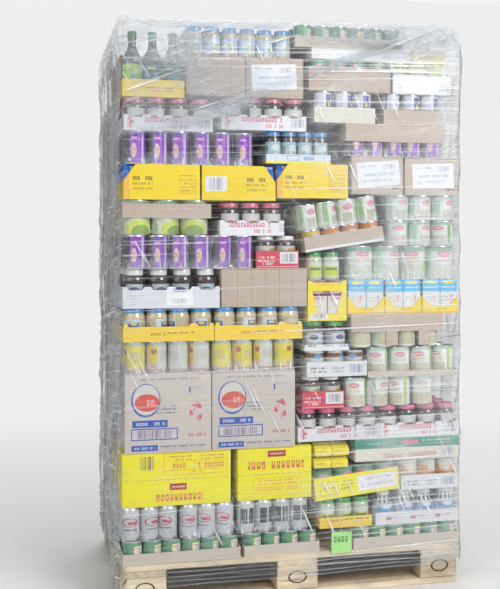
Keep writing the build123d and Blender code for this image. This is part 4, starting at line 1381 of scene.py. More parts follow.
@dataclass
class BoardTrays(Dressing):
    """Trays, caps and bands of corrugated board: walls with rounded cuts and bare cut edges, a floor or a lid, and
    flaps hanging from some caps.
    """

    thickness: float = 0.0021
    arc_points: int = 7
    seed: int = 11

    def build(self) -> None:
        """Builds one mesh for each tray node."""
        rng = random.Random(self.seed)
        for node, designs in TRAYS.items():
            prints = [f for design in designs for f in (design.finish, design.right, design.mirrored) if f]
            finishes: list[Finish] = [*dict.fromkeys(prints), CARD_EDGE]
            piece = Assembly(f"{node}_folded", finishes, self.palette)
            for seat in self.seats[node]:
                design = min(designs, key=lambda d: abs(d.height - seat.size.z))
                turned = design.right and seat.centre.x > design.split
                mirrored = design.mirrored and seat.shoulders[0] > seat.shoulders[1]
                slot = finishes.index(design.mirrored if mirrored else design.right if turned else design.finish)
                self.fold(piece, seat, design, slot, len(finishes) - 1, rng)
            piece.finish([node], smooth=False)

    def outline(self, seat: Seat, design: TrayDesign) -> list[Pair]:
        """The front wall's outline in X and Z, from the lower left round.

        Args:
            seat: the tray's place.
            design: its kind.

        Returns:
            The outline's points.
        """
        w, h = seat.size.x, design.wall or seat.size.z
        top: list[Pair] = []
        if design.cut is Cut.NOTCHED:
            count = round(w / design.pitch)
            pitch, dip, inset = (w - 0.0048) / count, h * 0.15, 0.0024
            for i in range(count):
                x = inset + (i + 0.5) * pitch
                for k in range(self.arc_points + 2):
                    share = k / (self.arc_points + 1)
                    bow = math.sin(math.pi * share)
                    top.append((x + pitch * 0.36 * (2 * share - 1), h - dip * min(1.0, bow * 3)))
        elif design.cut is Cut.TABBED:
            rise = seat.size.z - h
            for share, reach in ((0.03, 0.028), (0.77, 0.055), (0.97, 0.028)):
                for k in range(self.arc_points + 2):
                    step = k / (self.arc_points + 1)
                    top.append((w * (share + reach * (2 * step - 1)), h + rise * math.sin(math.pi * step) ** 0.5))
        elif design.cut is Cut.LOW_VEE:
            return [(0, 0), (w, 0), (w, 0.52 * h), (0.74 * w, 0.20 * h), (0.26 * w, 0.20 * h), (0, 0.52 * h)]
        elif design.cut is Cut.WINDOW:
            return [
                (0, 0), (w / 2, 0), (w / 2, 0.18 * h), (0.26 * w, 0.18 * h), (0.11 * w, 0.74 * h), (w / 2, 0.74 * h),
                (w / 2, 0.95 * h), (0.16 * w, 0.95 * h), (0.08 * w, h), (0, h),
            ]
        elif design.cut is Cut.CORNER:
            cut = h * 0.36
            if seat.shoulders[0] < seat.shoulders[1]:
                return [(0, 0), (w, 0), (w, h), (cut * 1.1, h), (cut * 0.9, h - 0.002), (0, h - 1.3 * cut)]
            return [(0, 0), (w, 0), (w, h - 1.3 * cut), (w - cut * 0.9, h - 0.002), (w - cut * 1.1, h), (0, h)]
        return [(0, 0), (w, 0), (w, h), *reversed(top), (0, h)]

    def fold(
        self, piece: Assembly, seat: Seat, design: TrayDesign, slot: int, edge_slot: int, rng: random.Random
    ) -> None:
        """Makes one tray and stands it on its seat.

        Args:
            piece: the mesh to add to.
            seat: where it stands.
            design: its kind.
            slot: material slot of its printed faces.
            edge_slot: material slot of cut edges.
            rng: varies its tint.
        """
        bm = blank()
        w, d, h, t = seat.size.x, seat.size.y, seat.size.z, self.thickness
        wall = design.wall or h
        outline = self.outline(seat, design)
        outlines = [outline]
        if design.cut is Cut.WINDOW:
            outlines.append([(w - x, z) for x, z in reversed(outline)])
        for y in (0.0, d - t):
            for face in [face for line in outlines for face in outline_slab(bm, line, y, t, slot)]:
                if abs(face.normal.y) < 0.5 and face.normal.z > -0.5:
                    face.material_index = edge_slot
        sloped = design.cut in (Cut.CORNER, Cut.LOW_VEE)
        left, right = (outline[-1][1], outline[2][1]) if sloped else (wall, wall)
        for x, level in ((0.0, left), (w - t, right)):
            slab(bm, (x, t, 0), (x + t, d - t, level), 0.0, slot)
        if design.cut is Cut.CAP:
            slab(bm, (t, t, h - t), (w - t, d - t, h), 0.0, slot)
        elif design.cut is not Cut.BAND:
            slab(bm, (t, t, 0), (w - t, d - t, t), 0.0, slot)
        bmesh.ops.remove_doubles(bm, verts=bm.verts, dist=1e-6)
        bm.normal_update()
        if design.cut is Cut.WINDOW:
            seam = [f for f in bm.faces if abs(f.normal.x) > 0.9 and abs(f.calc_center_median().x - w / 2) < 1e-5]
            bmesh.ops.delete(bm, geom=seam, context="FACES_ONLY")
        if design.cut is Cut.CAP and 0.8 < seat.low.z < 1.0:
            for share in (0.44, 0.80):
                slab(bm, (w * share - 0.022, 0.0, -0.050), (w * share + 0.022, t, 0.0), 0.0, slot)
        print_map(bm, bm.faces, Vector((w / 2, d / 2, 0)))
        piece.press(bm, rng.random(), seat.matrix)


@dataclass(frozen=True)
class CartonDesign:
    """One kind of closed carton."""

    node: str
    finish: Finish
    taped: bool = True
    labelled_from: float = 9.0
    bulge: float = 0.0012
    right: Finish | None = None
    split: float = -0.22


CARTONS: tuple[CartonDesign, ...] = (
    CartonDesign("kraft_cartons", KRAFT_CARTON, labelled_from=-0.1),
    CartonDesign("labelled_cartons", KRAFT_PRINTED, labelled_from=-9),
    CartonDesign("seasoning_cartons", SEASONING_BOARD, right=SEASONING_TURNED),
    CartonDesign("cleaner_cartons", CLEANER_BOARD),
    CartonDesign("pasta_cartons", PASTA_BOARD),
    CartonDesign("white_cartons", WHITE_BOARD, taped=False),
    CartonDesign("yellow_cartons", YELLOW_BOARD, taped=False),
)


@dataclass
class Cartons(Dressing):
    """Closed cartons: soft faces, flaps that meet on top, tape over the joint, and stuck-on labels."""

    edge: float = 0.0022
    seam: float = 0.0028
    tape_width: float = 0.048
    tape_drop: float = 0.045
    tape_skin: float = 0.0003
    flap: float = 0.004
    cuts: int = 5
    label_size: Triple = (0.158, 0.0006, 0.088)
    seed: int = 5

    def build(self) -> None:
        """Builds one mesh for each carton node."""
        rng = random.Random(self.seed)
        for design in CARTONS:
            finishes = [design.finish, PACKING_TAPE, SHIPPING_LABEL, design.right or CARD_EDGE]
            name = f"{design.node}_taped" if design.taped else f"{design.node}_glued"
            piece = Assembly(name, finishes, self.palette)
            for seat in self.seats[design.node]:
                self.box(piece, seat, design, rng)
            piece.finish([design.node])

    def box(self, piece: Assembly, seat: Seat, design: CartonDesign, rng: random.Random) -> None:
        """Makes one carton on its seat.

        Args:
            piece: the mesh to add to.
            seat: where it stands.
            design: its kind.
            rng: varies its dents, its tint and its label.
        """
        w, d, h = seat.size
        bm = blank()
        half = (d - self.seam) / 2
        body = slab(bm, (0, 0, 0), (w, d, h - self.flap), self.edge, 0, self.cuts)
        for y in (0.0, half + self.seam):
            slab(bm, (0.0, y, h - self.flap), (w, y + half, h), 0.0014, 0)
        shift = Vector([rng.uniform(-9, 9) for _ in range(3)])
        middle = Vector((w / 2, d / 2, h / 2))
        for vert in {v for face in body for v in face.verts}:
            p = vert.co
            share = [1 - abs(p[k] - middle[k]) / middle[k] for k in range(3)]
            free = sorted(share)[1]
            depth = design.bulge * 2.2 * free * (noise.noise(p * 7 + shift) - 0.35)
            side = share.index(min(share))
            if side < 2:
                p[side] += depth * (1 if p[side] > middle[side] else -1) if depth < 0 else 0.0
        bm.normal_update()
        print_map(bm, bm.faces, Vector((w / 2, d / 2, 0)))
        if design.taped:
            y0, y1, skin = (d - self.tape_width) / 2, (d + self.tape_width) / 2, self.tape_skin
            tape = slab(bm, (skin, y0, h - 0.0004), (w - skin, y1, h + skin), 0, 1)
            drop = min(self.tape_drop, h * 0.4)
            for x in (-skin, w - skin):
                tape += slab(bm, (x, y0, h - drop), (x + 2 * skin, y1, h + skin), 0, 1)
            print_map(bm, tape, Vector((w / 2, d / 2, 0)))
        if seat.centre.x > design.labelled_from:
            size = Vector(self.label_size)
            where = Matrix.Translation((w * rng.uniform(0.47, 0.53), -0.0002, h * rng.uniform(0.48, 0.54)))
            tilt = Matrix.Rotation(rng.uniform(-0.12, -0.04), 4, "Y")
            made = slab(bm, -size / 2, size / 2, 0, 2)
            print_map(bm, made, Vector((0, 0, -size.z / 2)))
            bmesh.ops.transform(bm, matrix=where @ tilt, verts=list({v for f in made for v in f.verts}))
        turned = design.right and seat.centre.x > design.split
        piece.press(bm, rng.random(), seat.matrix, [3, 1, 2] if turned else None)


@dataclass(frozen=True)
class PacketDesign:
    """Square packets that stand side by side and one behind another."""

    node: str
    finish: Finish
    across: int
    thick: float
    boxed: bool = False


PACKETS: tuple[PacketDesign, ...] = (
    PacketDesign("soup_packets", SOUP_PACKET, 2, 0.078),
    PacketDesign("squeeze_packs", SQUEEZE_PACK, 4, 0.048),
    PacketDesign("meal_packets", MEAL_PACKET, 2, 0.04, True),
    PacketDesign("dessert_packets", DESSERT_PACKET, 2, 0.04, True),
)


@dataclass
class Packets(Dressing):
    """Filled pouches with soft sides and a crimped top seam."""

    gap: float = 0.0012
    seed: int = 3

    def build(self) -> None:
        """Builds one mesh for each packet node."""
        rng = random.Random(self.seed)
        for design in PACKETS:
            piece = Assembly(f"{design.node}_filled", [design.finish], self.palette)
            for seat in self.seats[design.node]:
                w, d, h = seat.size
                rows = max(1, round(d / design.thick))
                size = Vector((w / design.across - self.gap, d / rows - self.gap, h))
                mesh = self.pouch(size, design)
                for j in range(rows):
                    for i in range(design.across):
                        where = Vector(((i + 0.5) * w / design.across, (j + 0.5) * d / rows, 0))
                        piece.stamp(mesh, seat.matrix @ Matrix.Translation(where), rng.random())
                bpy.data.meshes.remove(mesh)
            piece.finish([design.node])

    def pouch(self, size: Vector, design: PacketDesign) -> bpy.types.Mesh:
        """Makes one pouch, narrower towards its crimped top.

        Args:
            size: width, depth and height.
            design: its kind.

        Returns:
            The template mesh.
        """
        bm = blank()
        half = Vector((size.x / 2, size.y / 2, 0))
        low = size.z if design.boxed else size.z * 0.86
        slab(bm, -half, half + Vector((0, 0, low)), 0.001 if design.boxed else 0.004, 0, 3)
        for vert in [] if design.boxed else bm.verts:
            lift = max(0.0, vert.co.z / low - 0.55) / 0.45
            vert.co.y *= 1 - 0.82 * lift**2
            vert.co.z = min(vert.co.z, low)
        if not design.boxed:
            slab(bm, (-half.x, -0.0011, low - 0.002), (half.x, 0.0011, size.z), 0.0005, 0)
        bm.normal_update()
        print_map(bm, bm.faces, Vector((0, 0, 0)))
        return meshed("pouch", bm)


# Pallet

TIMBER = TimberFinish()
NAIL = PlainFinish("nail_heads", (24, 22, 20), 0.45, 0.8, mottle=0.3)
STAMP = PlainFinish("burnt_stamp", (9, 5, 3), 0.8, mottle=0.4, grain=300)


@dataclass
class Pallet(Dressing):
    """The timber pallet: sawn boards with worn edges, nails, and stamped rings on the blocks."""

    corner: float = 0.014
    edge: float = 0.0022
    rim: float = 0.008
    nail: float = 0.0042
    half: Pair = (0.6, 0.4)
    seed: int = 2

    def build(self) -> None:
        """Builds boards, blocks, nails and stamps."""
        rng = random.Random(self.seed)
        for node in ("pallet_deck_boards", "pallet_cross_boards", "pallet_blocks", "pallet_base_boards"):
            piece = Assembly(f"{node}_sawn", [TIMBER], self.palette)
            for seat in self.seats[node]:
                self.board(piece, seat, node, rng)
            piece.finish([node])
        self.nails(rng)
        self.stamps()

    def board(self, piece: Assembly, seat: Seat, node: str, rng: random.Random) -> None:
        """Saws one board or block.

        Args:
            piece: the mesh to add to.
            seat: the board's place.
            node: which kind it is.
            rng: varies its grain, tint and wear.
        """
        bm = blank()
        layer = bm.loops.layers.uv["print"]
        low, high = seat.low, seat.high
        slab(bm, low, high, 0.0, 0, 0)
        upright = []
        for edge in bm.edges:
            a, b = (v.co for v in edge.verts)
            if abs(a.z - b.z) > 0.01 and all(abs(abs(a[k]) - self.half[k]) < 1e-4 for k in (0, 1)):
                upright.append(edge)
        if upright:
            ease(bm, upright, self.corner)
        if node == "pallet_base_boards":
            rims = [e for e in bm.edges if abs(e.verts[0].co.x - e.verts[1].co.x) > 0.3]
            rims = [e for e in rims if all(v.co.z > high.z - 1e-5 for v in e.verts)]
            ease(bm, rims, self.rim, 2)
        long = 0 if high.x - low.x > high.y - low.y or node == "pallet_blocks" else 1
        normal = Vector((1, 0, 0)) if long == 0 else Vector((0, 1, 0))
        for k in range(1, 12):
            point = low.lerp(high, k / 12)
            geom = list(bm.verts) + list(bm.edges) + list(bm.faces)
            bmesh.ops.bisect_plane(bm, geom=geom, plane_co=point, plane_no=normal)
        sharp = [e for e in bm.edges if e.calc_face_angle(0.0) > 0.5]
        ease(bm, sharp, self.edge)
        shift = Vector([rng.uniform(-9, 9) for _ in range(3)])
        middle = (low + high) / 2
        for vert in bm.verts:
            worn = 0.0016 * max(0.0, noise.noise(vert.co * 9 + shift) + 0.25)
            for k in range(3):
                if k != long:
                    vert.co[k] += worn * (-1 if vert.co[k] > middle[k] else 1)
        bm.normal_update()
        offset = Vector((rng.uniform(0, 5), rng.uniform(0, 5)))
        for face in bm.faces:
            for loop in face.loops:
                p = loop.vert.co
                side = 0 if abs(face.normal.z) > 0.7 else p.z * 0.7
                across = p.z if abs(face.normal[1 - long]) > 0.7 else p[1 - long] + side
                loop[layer].uv = (p[long] + offset.x, across + offset.y)
        piece.press(bm, rng.random())

    def nails(self, rng: random.Random) -> None:
        """Sets nail heads where the deck boards cross the cross boards.

        Args:
            rng: moves the nails a little.
        """
        piece = Assembly("pallet_nails", [NAIL], self.palette)
        r = self.nail
        template = lathe("nail", [(0, 0.0006, 0), (r * 0.8, 0.0006, 0), (r, -0.0004, 0), (0, -0.0004, 0)], 12, (0, 1))
        for deck in self.seats["pallet_deck_boards"]:
            for cross in self.seats["pallet_cross_boards"]:
                for share in (0.22, 0.5, 0.78):
                    side = 0.3 if share == 0.5 else 0.7
                    x = cross.low.x + (cross.high.x - cross.low.x) * side + rng.uniform(-0.008, 0.008)
                    y = deck.low.y + (deck.high.y - deck.low.y) * share + rng.uniform(-0.006, 0.006)
                    piece.stamp(template, Matrix.Translation((x, y, deck.high.z - 0.0008)), rng.random())
        piece.finish([])

    def stamps(self) -> None:
        """Burns a ring into the outer face of each outer block."""
        piece = Assembly("block_stamps", [STAMP], self.palette)
        outer, inner, high = 0.027, 0.022, 0.0022
        profile = [(inner, 0, 0), (outer, 0, 0), (outer, high, 0), (inner, high, 0), (inner, 0, 0)]
        hoop = lathe("stamp_ring", profile, 28, (0, 1))
        for seat in self.seats["pallet_blocks"]:
            for side in (-1, 1):
                face = seat.low.y if side < 0 else seat.high.y
                if abs(face) < 0.39:
                    continue
                where = Vector(((seat.low.x + seat.high.x) / 2, face - side * 0.0016, seat.low.z + 0.042))
                turn = Matrix.Translation(where) @ Matrix.Rotation(math.pi / 2 * side * -1, 4, "X")
                scale = Matrix.Diagonal((1.25, 0.8, 1, 1))
                piece.stamp(hoop, turn @ scale @ Matrix.Rotation(0 if side < 0 else math.pi, 4, "X"), 0.5)
        piece.finish([])


# Stretch film

# Streaks, crinkles and slashes in these films are painted white as highlights; haze and creases are the film's own.
FRONT_FILM = FilmFinish(
    "stretch_film_clear", clear=0.008, streak=0.6, haze=0.06, along=(1.6, 1.6, 190), turn=(0, 0.03, 0), crease=0.5,
    slash=0.6, lean=0.8,
)
BACK_FILM = FilmFinish(
    "stretch_film_back", clear=0.03, streak=0.8, haze=0.22, along=(1.6, 1.6, 170), turn=(0, -0.06, 0), crease=0.6,
    slash=0.8,
)
# The side walls' film has a darker grey milk than the front's, painted shade; its dense creases are its own.
SIDE_FILM = FilmFinish(
    "stretch_film_creased_painted_shade", clear=0.1, streak=0.8, haze=0.36, along=(2.5, 2.5, 110), turn=(0.14, 0, 0), crease=1.2,
    milk=(42, 44, 46), relief=0.006, edge=1.5,
)
# Over the fork pockets the film has a near-black milk: painted shade in the pockets, with painted glints on its
# streaks.
HEM_FILM = FilmFinish(
    "stretch_film_over_gaps_painted_shade", clear=0.84, streak=0.35, haze=0, along=(1.5, 1.5, 120), crease=0.1, milk=(2, 2, 2.5),
    relief=0.012,
)
TOP_FILM = FilmFinish(
    "stretch_film_gathered", clear=0.06, streak=0.9, haze=0.5, along=(6, 6, 120), turn=(0, 0.3, 0), crease=1,
    milk=(70, 73, 76), relief=0.01,
)
BUNCH_FILM = FilmFinish(
    "stretch_film_bunched", clear=0.12, streak=1, haze=0.7, along=(4, 4, 130), turn=(0, 0.42, 0), crease=1.2,
    milk=(66, 68, 71), relief=0.014, fade=True,
)
FAN_FILM = FilmFinish(
    "stretch_film_fanned", clear=0.12, streak=1, haze=0.6, along=(3, 3, 120), turn=(0, 0.34, 0), crease=0.9,
    milk=(58, 62, 66), relief=0.01, fade=True,
)
ROPE_FILM = FilmFinish(
    "stretch_film_roped", clear=0.16, streak=1.2, haze=0.4, along=(3, 16, 1), crease=0.6, ribbon=True, fade=True,
)
SHRINK_FILM = FilmFinish(
    "shrink_film", clear=0.02, streak=0.5, haze=0.14, along=(110, 60, 7), crease=1, relief=0.006, gather=1,
)


@dataclass
class StretchFilm(Dressing):
    """The film wound round the load: four creased walls, the gathered top and ropes of bunched film."""

    corner: float = 0.014
    grid: float = 0.010
    turn_in: float = 0.118
    rise: float = 0.04 / 1.206
    shoulders: Pair = (0.022, 0.095)
    hem: float = 0.070
    pocket: Triple = (0.264, 0.186, 0.121)
    end: float = field(init=False)
    face: float = field(init=False)
    base: float = field(init=False)

    def build(self) -> None:
        """Builds the walls, the top and the ropes."""
        low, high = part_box("stretch_film")
        self.end, self.face = high.x - 0.0004, high.y - 0.0004
        self.base = high.z - 0.0008 - self.rise * (self.end - self.shoulders[1] * 1.05)
        log.info("film: end %.4f face %.4f top %.4f", self.end, self.face, high.z)
        sides = {
            "front": (0, FRONT_FILM, 0.0022), "right": (1, SIDE_FILM, 0.0060),
            "back": (2, BACK_FILM, 0.0030), "left": (3, SIDE_FILM, 0.0110),
        }
        for name, (number, finish, depth) in sides.items():
            self.wall(f"stretch_film_{name}", number, finish, depth)
        self.top()

    def height_at(self, x: float) -> float:
        """How high the film reaches at X."""
        return self.base + self.rise * x

    def crease(self, p: Vector, depth: float) -> float:
        """How far the film stands off the load at a point.

        Args:
            p: the point.
            depth: depth of its creases.

        Returns:
            The distance outwards, in metres.
        """
        slant = Vector((p.x * 5 + p.y * 5, p.z * 2.2 - (p.x - p.y) * 3.5, 3.1))
        ridge = 1 - abs(noise.noise(slant * 1.6)) * 2.4
        fine = noise.noise(Vector((p.x * 22, p.y * 22, p.z * 46)))
        ends = min(1.0, abs(p.x) / self.end) ** 8 * 0.6 + 0.4
        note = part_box("delivery_note")
        off = max(note[0].x - p.x, p.x - note[1].x, note[0].z - p.z, p.z - note[1].z, 0.4 * (p.y + self.face))
        calm = min(1.0, max(0.0, off / 0.03))
        return depth * (max(0.0, ridge) ** 2 * 1.2 * ends + 0.35 * fine + 0.4) * calm - 0.0012 * (1 - calm)

    def wall(self, name: str, number: int, finish: Finish, depth: float) -> None:
        """Makes one wall of the film, from its hem up and in over the top.

        Args:
            name: the piece's name.
            number: side, from the front round to the left.
            finish: its finish.
            depth: depth of its creases.
        """
        piece = Assembly(name, [finish, TOP_FILM, HEM_FILM], self.palette)
        bm = piece.bm
        width = 2 * (self.end if number % 2 == 0 else self.face)
        columns, rows = round(width / self.grid), round(2.0 / self.grid)
        bmesh.ops.create_grid(bm, x_segments=columns, y_segments=rows, size=0.5)
        bm.verts.ensure_lookup_table()
        for vert in bm.verts:
            share, lift = vert.co.x + 0.5, vert.co.y + 0.5
            vert.co = self.point(number, share, lift, depth)
        bmesh.ops.recalc_face_normals(bm, faces=bm.faces)
        for face in bm.faces:
            p = face.calc_center_median()
            edge = self.height_at(p.x) - 0.075 + 0.03 * noise.noise(p * 9)
            middle, half, top = self.pocket
            gap = number % 2 == 0 and p.z < top and abs(abs(p.x) - middle) < half
            # Faces over the fork pockets take the film with the painted shade.
            face.material_index = 2 if gap else 1 if p.z > edge else 0
        made = piece.finish(["stretch_film"])

    def point(self, number: int, share: float, lift: float, depth: float) -> Vector:
        """The place of a grid point of a wall.

        Args:
            number: side.
            share: along it.
            lift: 0 at the hem to 1 at the inner edge over the top.
            depth: depth of creases.

        Returns:
            The point.
        """
        half, r = (self.end, self.face), self.corner
        foot, out = round_side(half, r, number, (2 * share - 1) * (half[number % 2] - r + r * math.pi / 4))
        level = self.height_at(foot.x)
        bend = self.shoulders[1] if foot.x > self.end - 0.02 else self.shoulders[0]
        hem = self.hem + 0.016 * noise.noise(Vector((foot.x * 4, foot.y * 4, 7.7)))
        wall, arc = level - bend - hem, bend * math.pi / 2
        inward = self.turn_in - bend
        s = lift * (wall + arc + max(0.0, inward))
        centre = Vector((foot.x * (1 - self.turn_in / self.end), foot.y * (1 - self.turn_in / self.face), 0))
        if s < wall:
            p = foot + Vector((0, 0, hem + s))
            normal = out
            deep = depth * (1.0 if s < wall - 0.15 else 1.0 + (s - wall + 0.15) * 8)
        else:
            angle = min(math.pi / 2, (s - wall) / bend)
            reach = bend * (1 - math.cos(angle))
            extra = max(0.0, s - wall - arc)
            p = foot.lerp(centre, min(1.0, (reach + extra) / self.turn_in))
            p.z = level - bend + bend * math.sin(angle)
            normal = out * math.cos(angle) + Vector((0, 0, 1)) * math.sin(angle)
            deep = depth * 1.6 + 0.006 * math.sin(angle)
        off = self.crease(p, deep)
        limit = (0.012 if number % 2 == 0 else 0.020) + 0.006 * normal.z
        return p + normal * max(-0.0012, min(off, limit))

    def top(self) -> None:
        """Makes the pleated bands, the crumpled ends of the film and the strands along its lower edge."""
        piece = Assembly("stretch_film_bands", [ROPE_FILM, BUNCH_FILM, FAN_FILM], self.palette)
        front = -self.face - 0.0035
        for points, widths, pleats in (
            ([(-0.43, 1.60), (-0.20, 1.70), (0.02, 1.80), (0.38, 1.925)], (0.052, 0.030), 9),
            ([(-0.60, 1.575), (-0.40, 1.615), (-0.14, 1.70)], (0.018, 0.034), 5),
            ([(-0.60, 1.832), (-0.47, 1.842), (-0.33, 1.826)], (0.060, 0.050), 7),
            ([(0.10, 1.83), (0.30, 1.90), (0.56, 1.955)], (0.030, 0.040), 8),
        ):
            self.band(piece, points, widths, front, pleats)
        for across, up, lift, depth, slot in (
            ((0.22, 0.606), (1.86, 1.99), 0, 0.016, 1), ((0.02, 0.606), (1.90, 1.99), 0.001, 0.012, 1),
            ((-0.606, -0.30), (1.76, 1.945), 0, 0.010, 2), ((-0.606, -0.10), (1.57, 1.84), 0, 0.004, 2),
        ):
            self.crumple(piece, across, up, front - lift, depth, slot)
        rng = random.Random(4)
        for level in (0.072, 0.086, 0.101, 0.116):
            points = [(-self.end + 2 * self.end * k / 8, level + rng.uniform(-0.004, 0.004)) for k in range(9)]
            self.band(piece, points, (0.005, 0.004), front + 0.001, 1)
        piece.finish(["stretch_film"])

    def band(self, piece: Assembly, points: Sequence[Pair], widths: Pair, front: float, pleats: int) -> None:
        """Lays a band of drawn-out film over the front.

        Args:
            piece: the mesh to add to.
            points: its route in X and Z.
            widths: at its start and its end.
            front: Y of its inner side.
            pleats: folds across it.
        """
        bm = blank()
        bmesh.ops.create_grid(bm, x_segments=72, y_segments=max(2, pleats * 3), size=0.5, calc_uvs=True)
        route = [Vector((x, front, z)) for x, z in points]
        spans = len(route) - 1
        for vert in bm.verts:
            share, side = vert.co.x + 0.5, vert.co.y
            k = min(spans - 1, int(share * spans))
            at = route[k].lerp(route[k + 1], share * spans - k)
            ahead = (route[k + 1] - route[k]).normalized()
            up = Vector((-ahead.z, 0, ahead.x))
            width = widths[0] + (widths[1] - widths[0]) * share
            width *= 1 + 0.25 * noise.noise(Vector((share * 6, 3.3, points[0][1] * 7)))
            fold = abs(math.sin(math.pi * pleats * (side + 0.5 + 0.05 * noise.noise(at * 11))))
            vert.co = at + up * side * width - Vector((0, 1, 0)) * fold * min(0.004, width / max(1, pleats))
        bmesh.ops.recalc_face_normals(bm, faces=bm.faces)
        piece.press(bm)

    def crumple(self, piece: Assembly, across: Pair, up: Pair, front: float, depth: float, slot: int) -> None:
        """Crumples a loose end of film against the front.

        Args:
            piece: the mesh to add to.
            across: its left and right end.
            up: its lower and upper end.
            front: Y of its inner side.
            depth: how far it stands out.
            slot: its material slot.
        """
        bm = blank()
        bmesh.ops.create_grid(bm, x_segments=64, y_segments=32, size=0.5, calc_uvs=True)
        for vert in bm.verts:
            u, v = vert.co.x * 2, vert.co.y * 2
            x, z = across[0] + (u + 1) / 2 * (across[1] - across[0]), up[0] + (v + 1) / 2 * (up[1] - up[0])
            p = Vector((x, front, z))
            fade = max(0.0, 1 - max(abs(u), abs(v)) ** 4)
            ridge = (1 - abs(noise.noise(p * 16)) * 2) + 0.6 * (1 - abs(noise.noise(p * 42)) * 2)
            p.y -= depth * fade * max(0.0, ridge) * 0.7
            past = max(0.0, p.x - self.end + self.shoulders[1])
            p.z = min(p.z, self.height_at(p.x) + 0.012 - 0.5 * past**2 / self.shoulders[1])
            p += Vector((noise.noise(p * 30), 0, noise.noise(p * 27))) * 0.012 * fade
            vert.co = p
        bmesh.ops.recalc_face_normals(bm, faces=bm.faces)
        piece.press(bm, slots=[slot])


@dataclass
class ShrinkWraps(Dressing):
    """Shrink film drawn tight over the packs that have no tray, gathered round their base."""

    nodes: tuple[str, ...] = (
        "drink_cans", "soup_cans", "purple_cans", "big_cans", "short_vegetable_cans", "blue_lid_jars",
    )
    corner: float = 0.030
    grid: float = 0.009
    rows: int = 11
    turn_in: float = 0.014

    def build(self) -> None:
        """Builds one mesh for all the packs."""
        piece = Assembly("shrink_film_on_packs", [SHRINK_FILM], self.palette)
        for node in self.nodes:
            for number, seat in enumerate(self.seats[node]):
                self.skin(piece, seat, number * 3.7 + len(node))
        piece.finish([])

    def skin(self, piece: Assembly, seat: Seat, shift: float) -> None:
        """Draws film over one pack.

        Args:
            piece: the mesh to add to.
            seat: the pack.
            shift: varies its creases.
        """
        w, d, h = seat.size
        r = self.corner
        half, arc = (w / 2, d / 2), r * math.pi / 2
        sides = [2 * (reach - r) + arc for reach in half] * 2
        total = sum(sides)

        bm = blank()
        bmesh.ops.create_grid(bm, x_segments=round(total / self.grid), y_segments=self.rows, size=0.5, calc_uvs=True)
        for vert in bm.verts:
            share, lift = vert.co.x + 0.5, (vert.co.y + 0.5) * 1.1
            side, s = 0, share * total
            while side < 3 and s > sides[side]:
                s -= sides[side]
                side += 1
            foot, out = round_side(half, r, side, s - (sides[side] - arc) / 2)
            v = min(1.0, lift)
            inward = max(0.0, lift - 1.0) / 0.1 * self.turn_in
            base = max(0.0, 1 - v / 0.22)
            wave = noise.noise(Vector((share * total * 30, v * 3, shift)))
            crush = noise.noise(Vector((share * total * 70, v * 22, shift)))
            off = 0.0004 + 0.0007 * (wave + 1) + base * 0.0016 * (crush + 0.6)
            point = foot + out * (off - inward) + Vector((w / 2, d / 2, 0))
            vert.co = (point.x, point.y, v * h + (0.0004 if inward else 0.0) + base * 0.004 * wave * (v > 0))
        bmesh.ops.remove_doubles(bm, verts=bm.verts, dist=1e-5)
        bmesh.ops.recalc_face_normals(bm, faces=bm.faces)
        piece.press(bm, matrix=seat.matrix)


# Note


@dataclass
class DeliveryNote(Dressing):
    """The paper slip on the film, with one corner lifting."""

    curl: float = 0.006

    def build(self) -> None:
        """Builds the slip."""
        low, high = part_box("delivery_note")
        piece = Assembly("delivery_note_slip", [NOTE_PAPER], self.palette)
        bm = piece.bm
        bmesh.ops.create_grid(bm, x_segments=14, y_segments=14, size=0.5)
        middle, size = (low + high) / 2, high - low
        layer = bm.loops.layers.uv["print"]
        for face in bm.faces:
            for loop in face.loops:
                loop[layer].uv = (loop.vert.co.x * size.x, (loop.vert.co.y + 0.5) * size.z)
        for vert in bm.verts:
            u, v = vert.co.x, vert.co.y
            lift = max(0.0, u + v - 0.55) ** 2 * self.curl / 0.2 + max(0.0, -u - v - 0.7) ** 2 * self.curl / 0.2
            vert.co = Vector((middle.x + u * size.x, low.y - lift, middle.z + v * size.z))
        bmesh.ops.recalc_face_normals(bm, faces=bm.faces)
        piece.finish(["delivery_note"])


# Studio


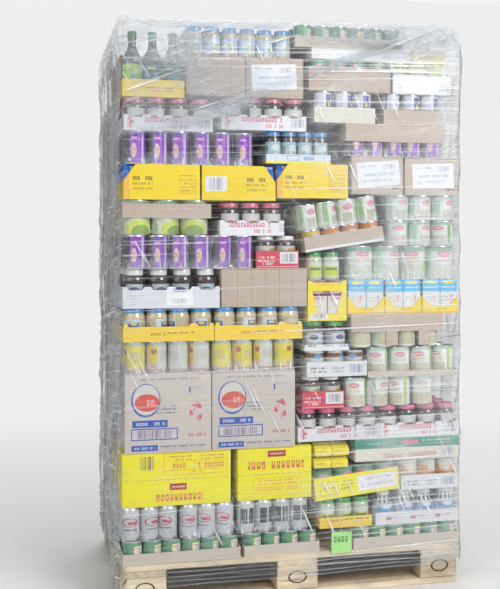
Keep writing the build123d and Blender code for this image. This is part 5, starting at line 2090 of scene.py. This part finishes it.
@dataclass
class Studio:
    """Pale floor and backdrop, soft lamps and the camera."""

    camera_place: Triple = (-0.9109, -3.5593, 1.1986)
    heading: float = -13.22
    lens: float = 58.17
    shift: float = -0.079
    floor_colour: Colour = (80, 80, 79)

    def build(self) -> None:
        """Builds the studio round the load."""
        self.floor()
        for name, place, target, power, size in (
            ("key", (1.9, -4.2, 3.3), (0, -0.3, 1), 163, 2.2), ("fill", (-3.6, -2.4, 2.2), (-0.2, 0, 1), 38, 2.6),
            ("back", (0.6, 3.6, 3.2), (0, 0, 1), 60, 2.6), ("overhead", (0, -0.4, 4.4), (0, 0, 1), 60, 3),
        ):
            self.lamp(name, place, target, power, size)
        world = bpy.data.worlds.new("studio_air")
        bpy.context.scene.world = world
        world.use_nodes = True
        kit = Kit.over(world.node_tree)
        path = kit.raw("ShaderNodeLightPath")
        seen = [Term(kit, path.outputs[name]) for name in ("Is Camera Ray", "Is Glossy Ray", "Is Transmission Ray")]
        strength = (seen[0] + seen[1] + seen[2]).clamp() * 0.60 + 0.28
        air = kit.node("ShaderNodeBackground", None, {0: PURE_WHITE, 1: strength})
        kit.raw("ShaderNodeOutputWorld", None, {0: air})
        data = bpy.data.cameras.new("camera")
        data.lens, data.shift_y, data.clip_end = self.lens, self.shift, 50.0
        camera = placed("camera", data)
        camera.location = self.camera_place
        camera.rotation_euler = (math.radians(90), 0, math.radians(self.heading))
        bpy.context.scene.camera = camera
        bpy.context.scene.view_settings.view_transform = "Standard"

    def floor(self) -> None:
        """Makes a floor that runs up into a backdrop, which the camera sees as an even white."""
        kit = Kit("pale_floor")
        place = kit.place((1, 1, 0))
        dust = kit.noise(place, 3.0, 3.0)
        colour = kit.mix(kit.steps(dust, (0.3, 0), (0.8, 0.35)), self.floor_colour, (72, 72, 71))
        ground = kit.node("ShaderNodeBsdfPrincipled", None, {"Base Color": colour, "Roughness": 0.6})
        glow = kit.node("ShaderNodeEmission", None, {0: PURE_WHITE, 1: 0.86})
        far = kit.node("ShaderNodeVectorMath", {"operation": "LENGTH"}, {0: place}, out="Value") / 8
        seen = kit.node("ShaderNodeLightPath", out="Is Camera Ray")
        white = kit.steps(far, (0.10, 0), (0.42, 1)) * seen
        mixed = kit.node("ShaderNodeMixShader", None, {0: white, 1: ground, 2: glow})
        kit.raw("ShaderNodeOutputMaterial", None, {0: mixed})
        bm = bmesh.new()
        bmesh.ops.create_grid(bm, x_segments=48, y_segments=48, size=9.0)
        for vert in bm.verts:
            vert.co.z = 0.13 * max(0.0, vert.co.y - 3.0) ** 2
        mesh = meshed("floor", bm)
        mesh.materials.append(kit.material)
        made = placed("floor", mesh)

    def lamp(self, name: str, place: Sequence[float], target: Sequence[float], power: float, size: float) -> None:
        """Adds a soft area lamp.

        Args:
            name: lamp name.
            place: where it hangs.
            target: what it points at.
            power: watts.
            size: side of its square.
        """
        data = bpy.data.lights.new(name, "AREA")
        data.energy, data.size, data.shape = power, size, "SQUARE"
        lamp = placed(name, data)
        lamp.location = place
        lamp.rotation_euler = (Vector(target) - Vector(place)).to_track_quat("-Z", "Y").to_euler()


def main() -> None:
    """Builds the load in the order in which it is stacked."""
    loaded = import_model()
    seats = {
        name: seats_of(node) for name, node in loaded["nodes"].items()
        if name not in ("stretch_film", "delivery_note")
    }
    palette = Palette()
    Studio().build()
    for kind in (Pallet, RoundGoods, BoardTrays, Cartons, Packets, ShrinkWraps, DeliveryNote, StretchFilm):
        kind(seats, palette).build()


if __name__ == "__main__":
    logging.basicConfig(level=logging.INFO, format="%(name)s: %(message)s")
    main()
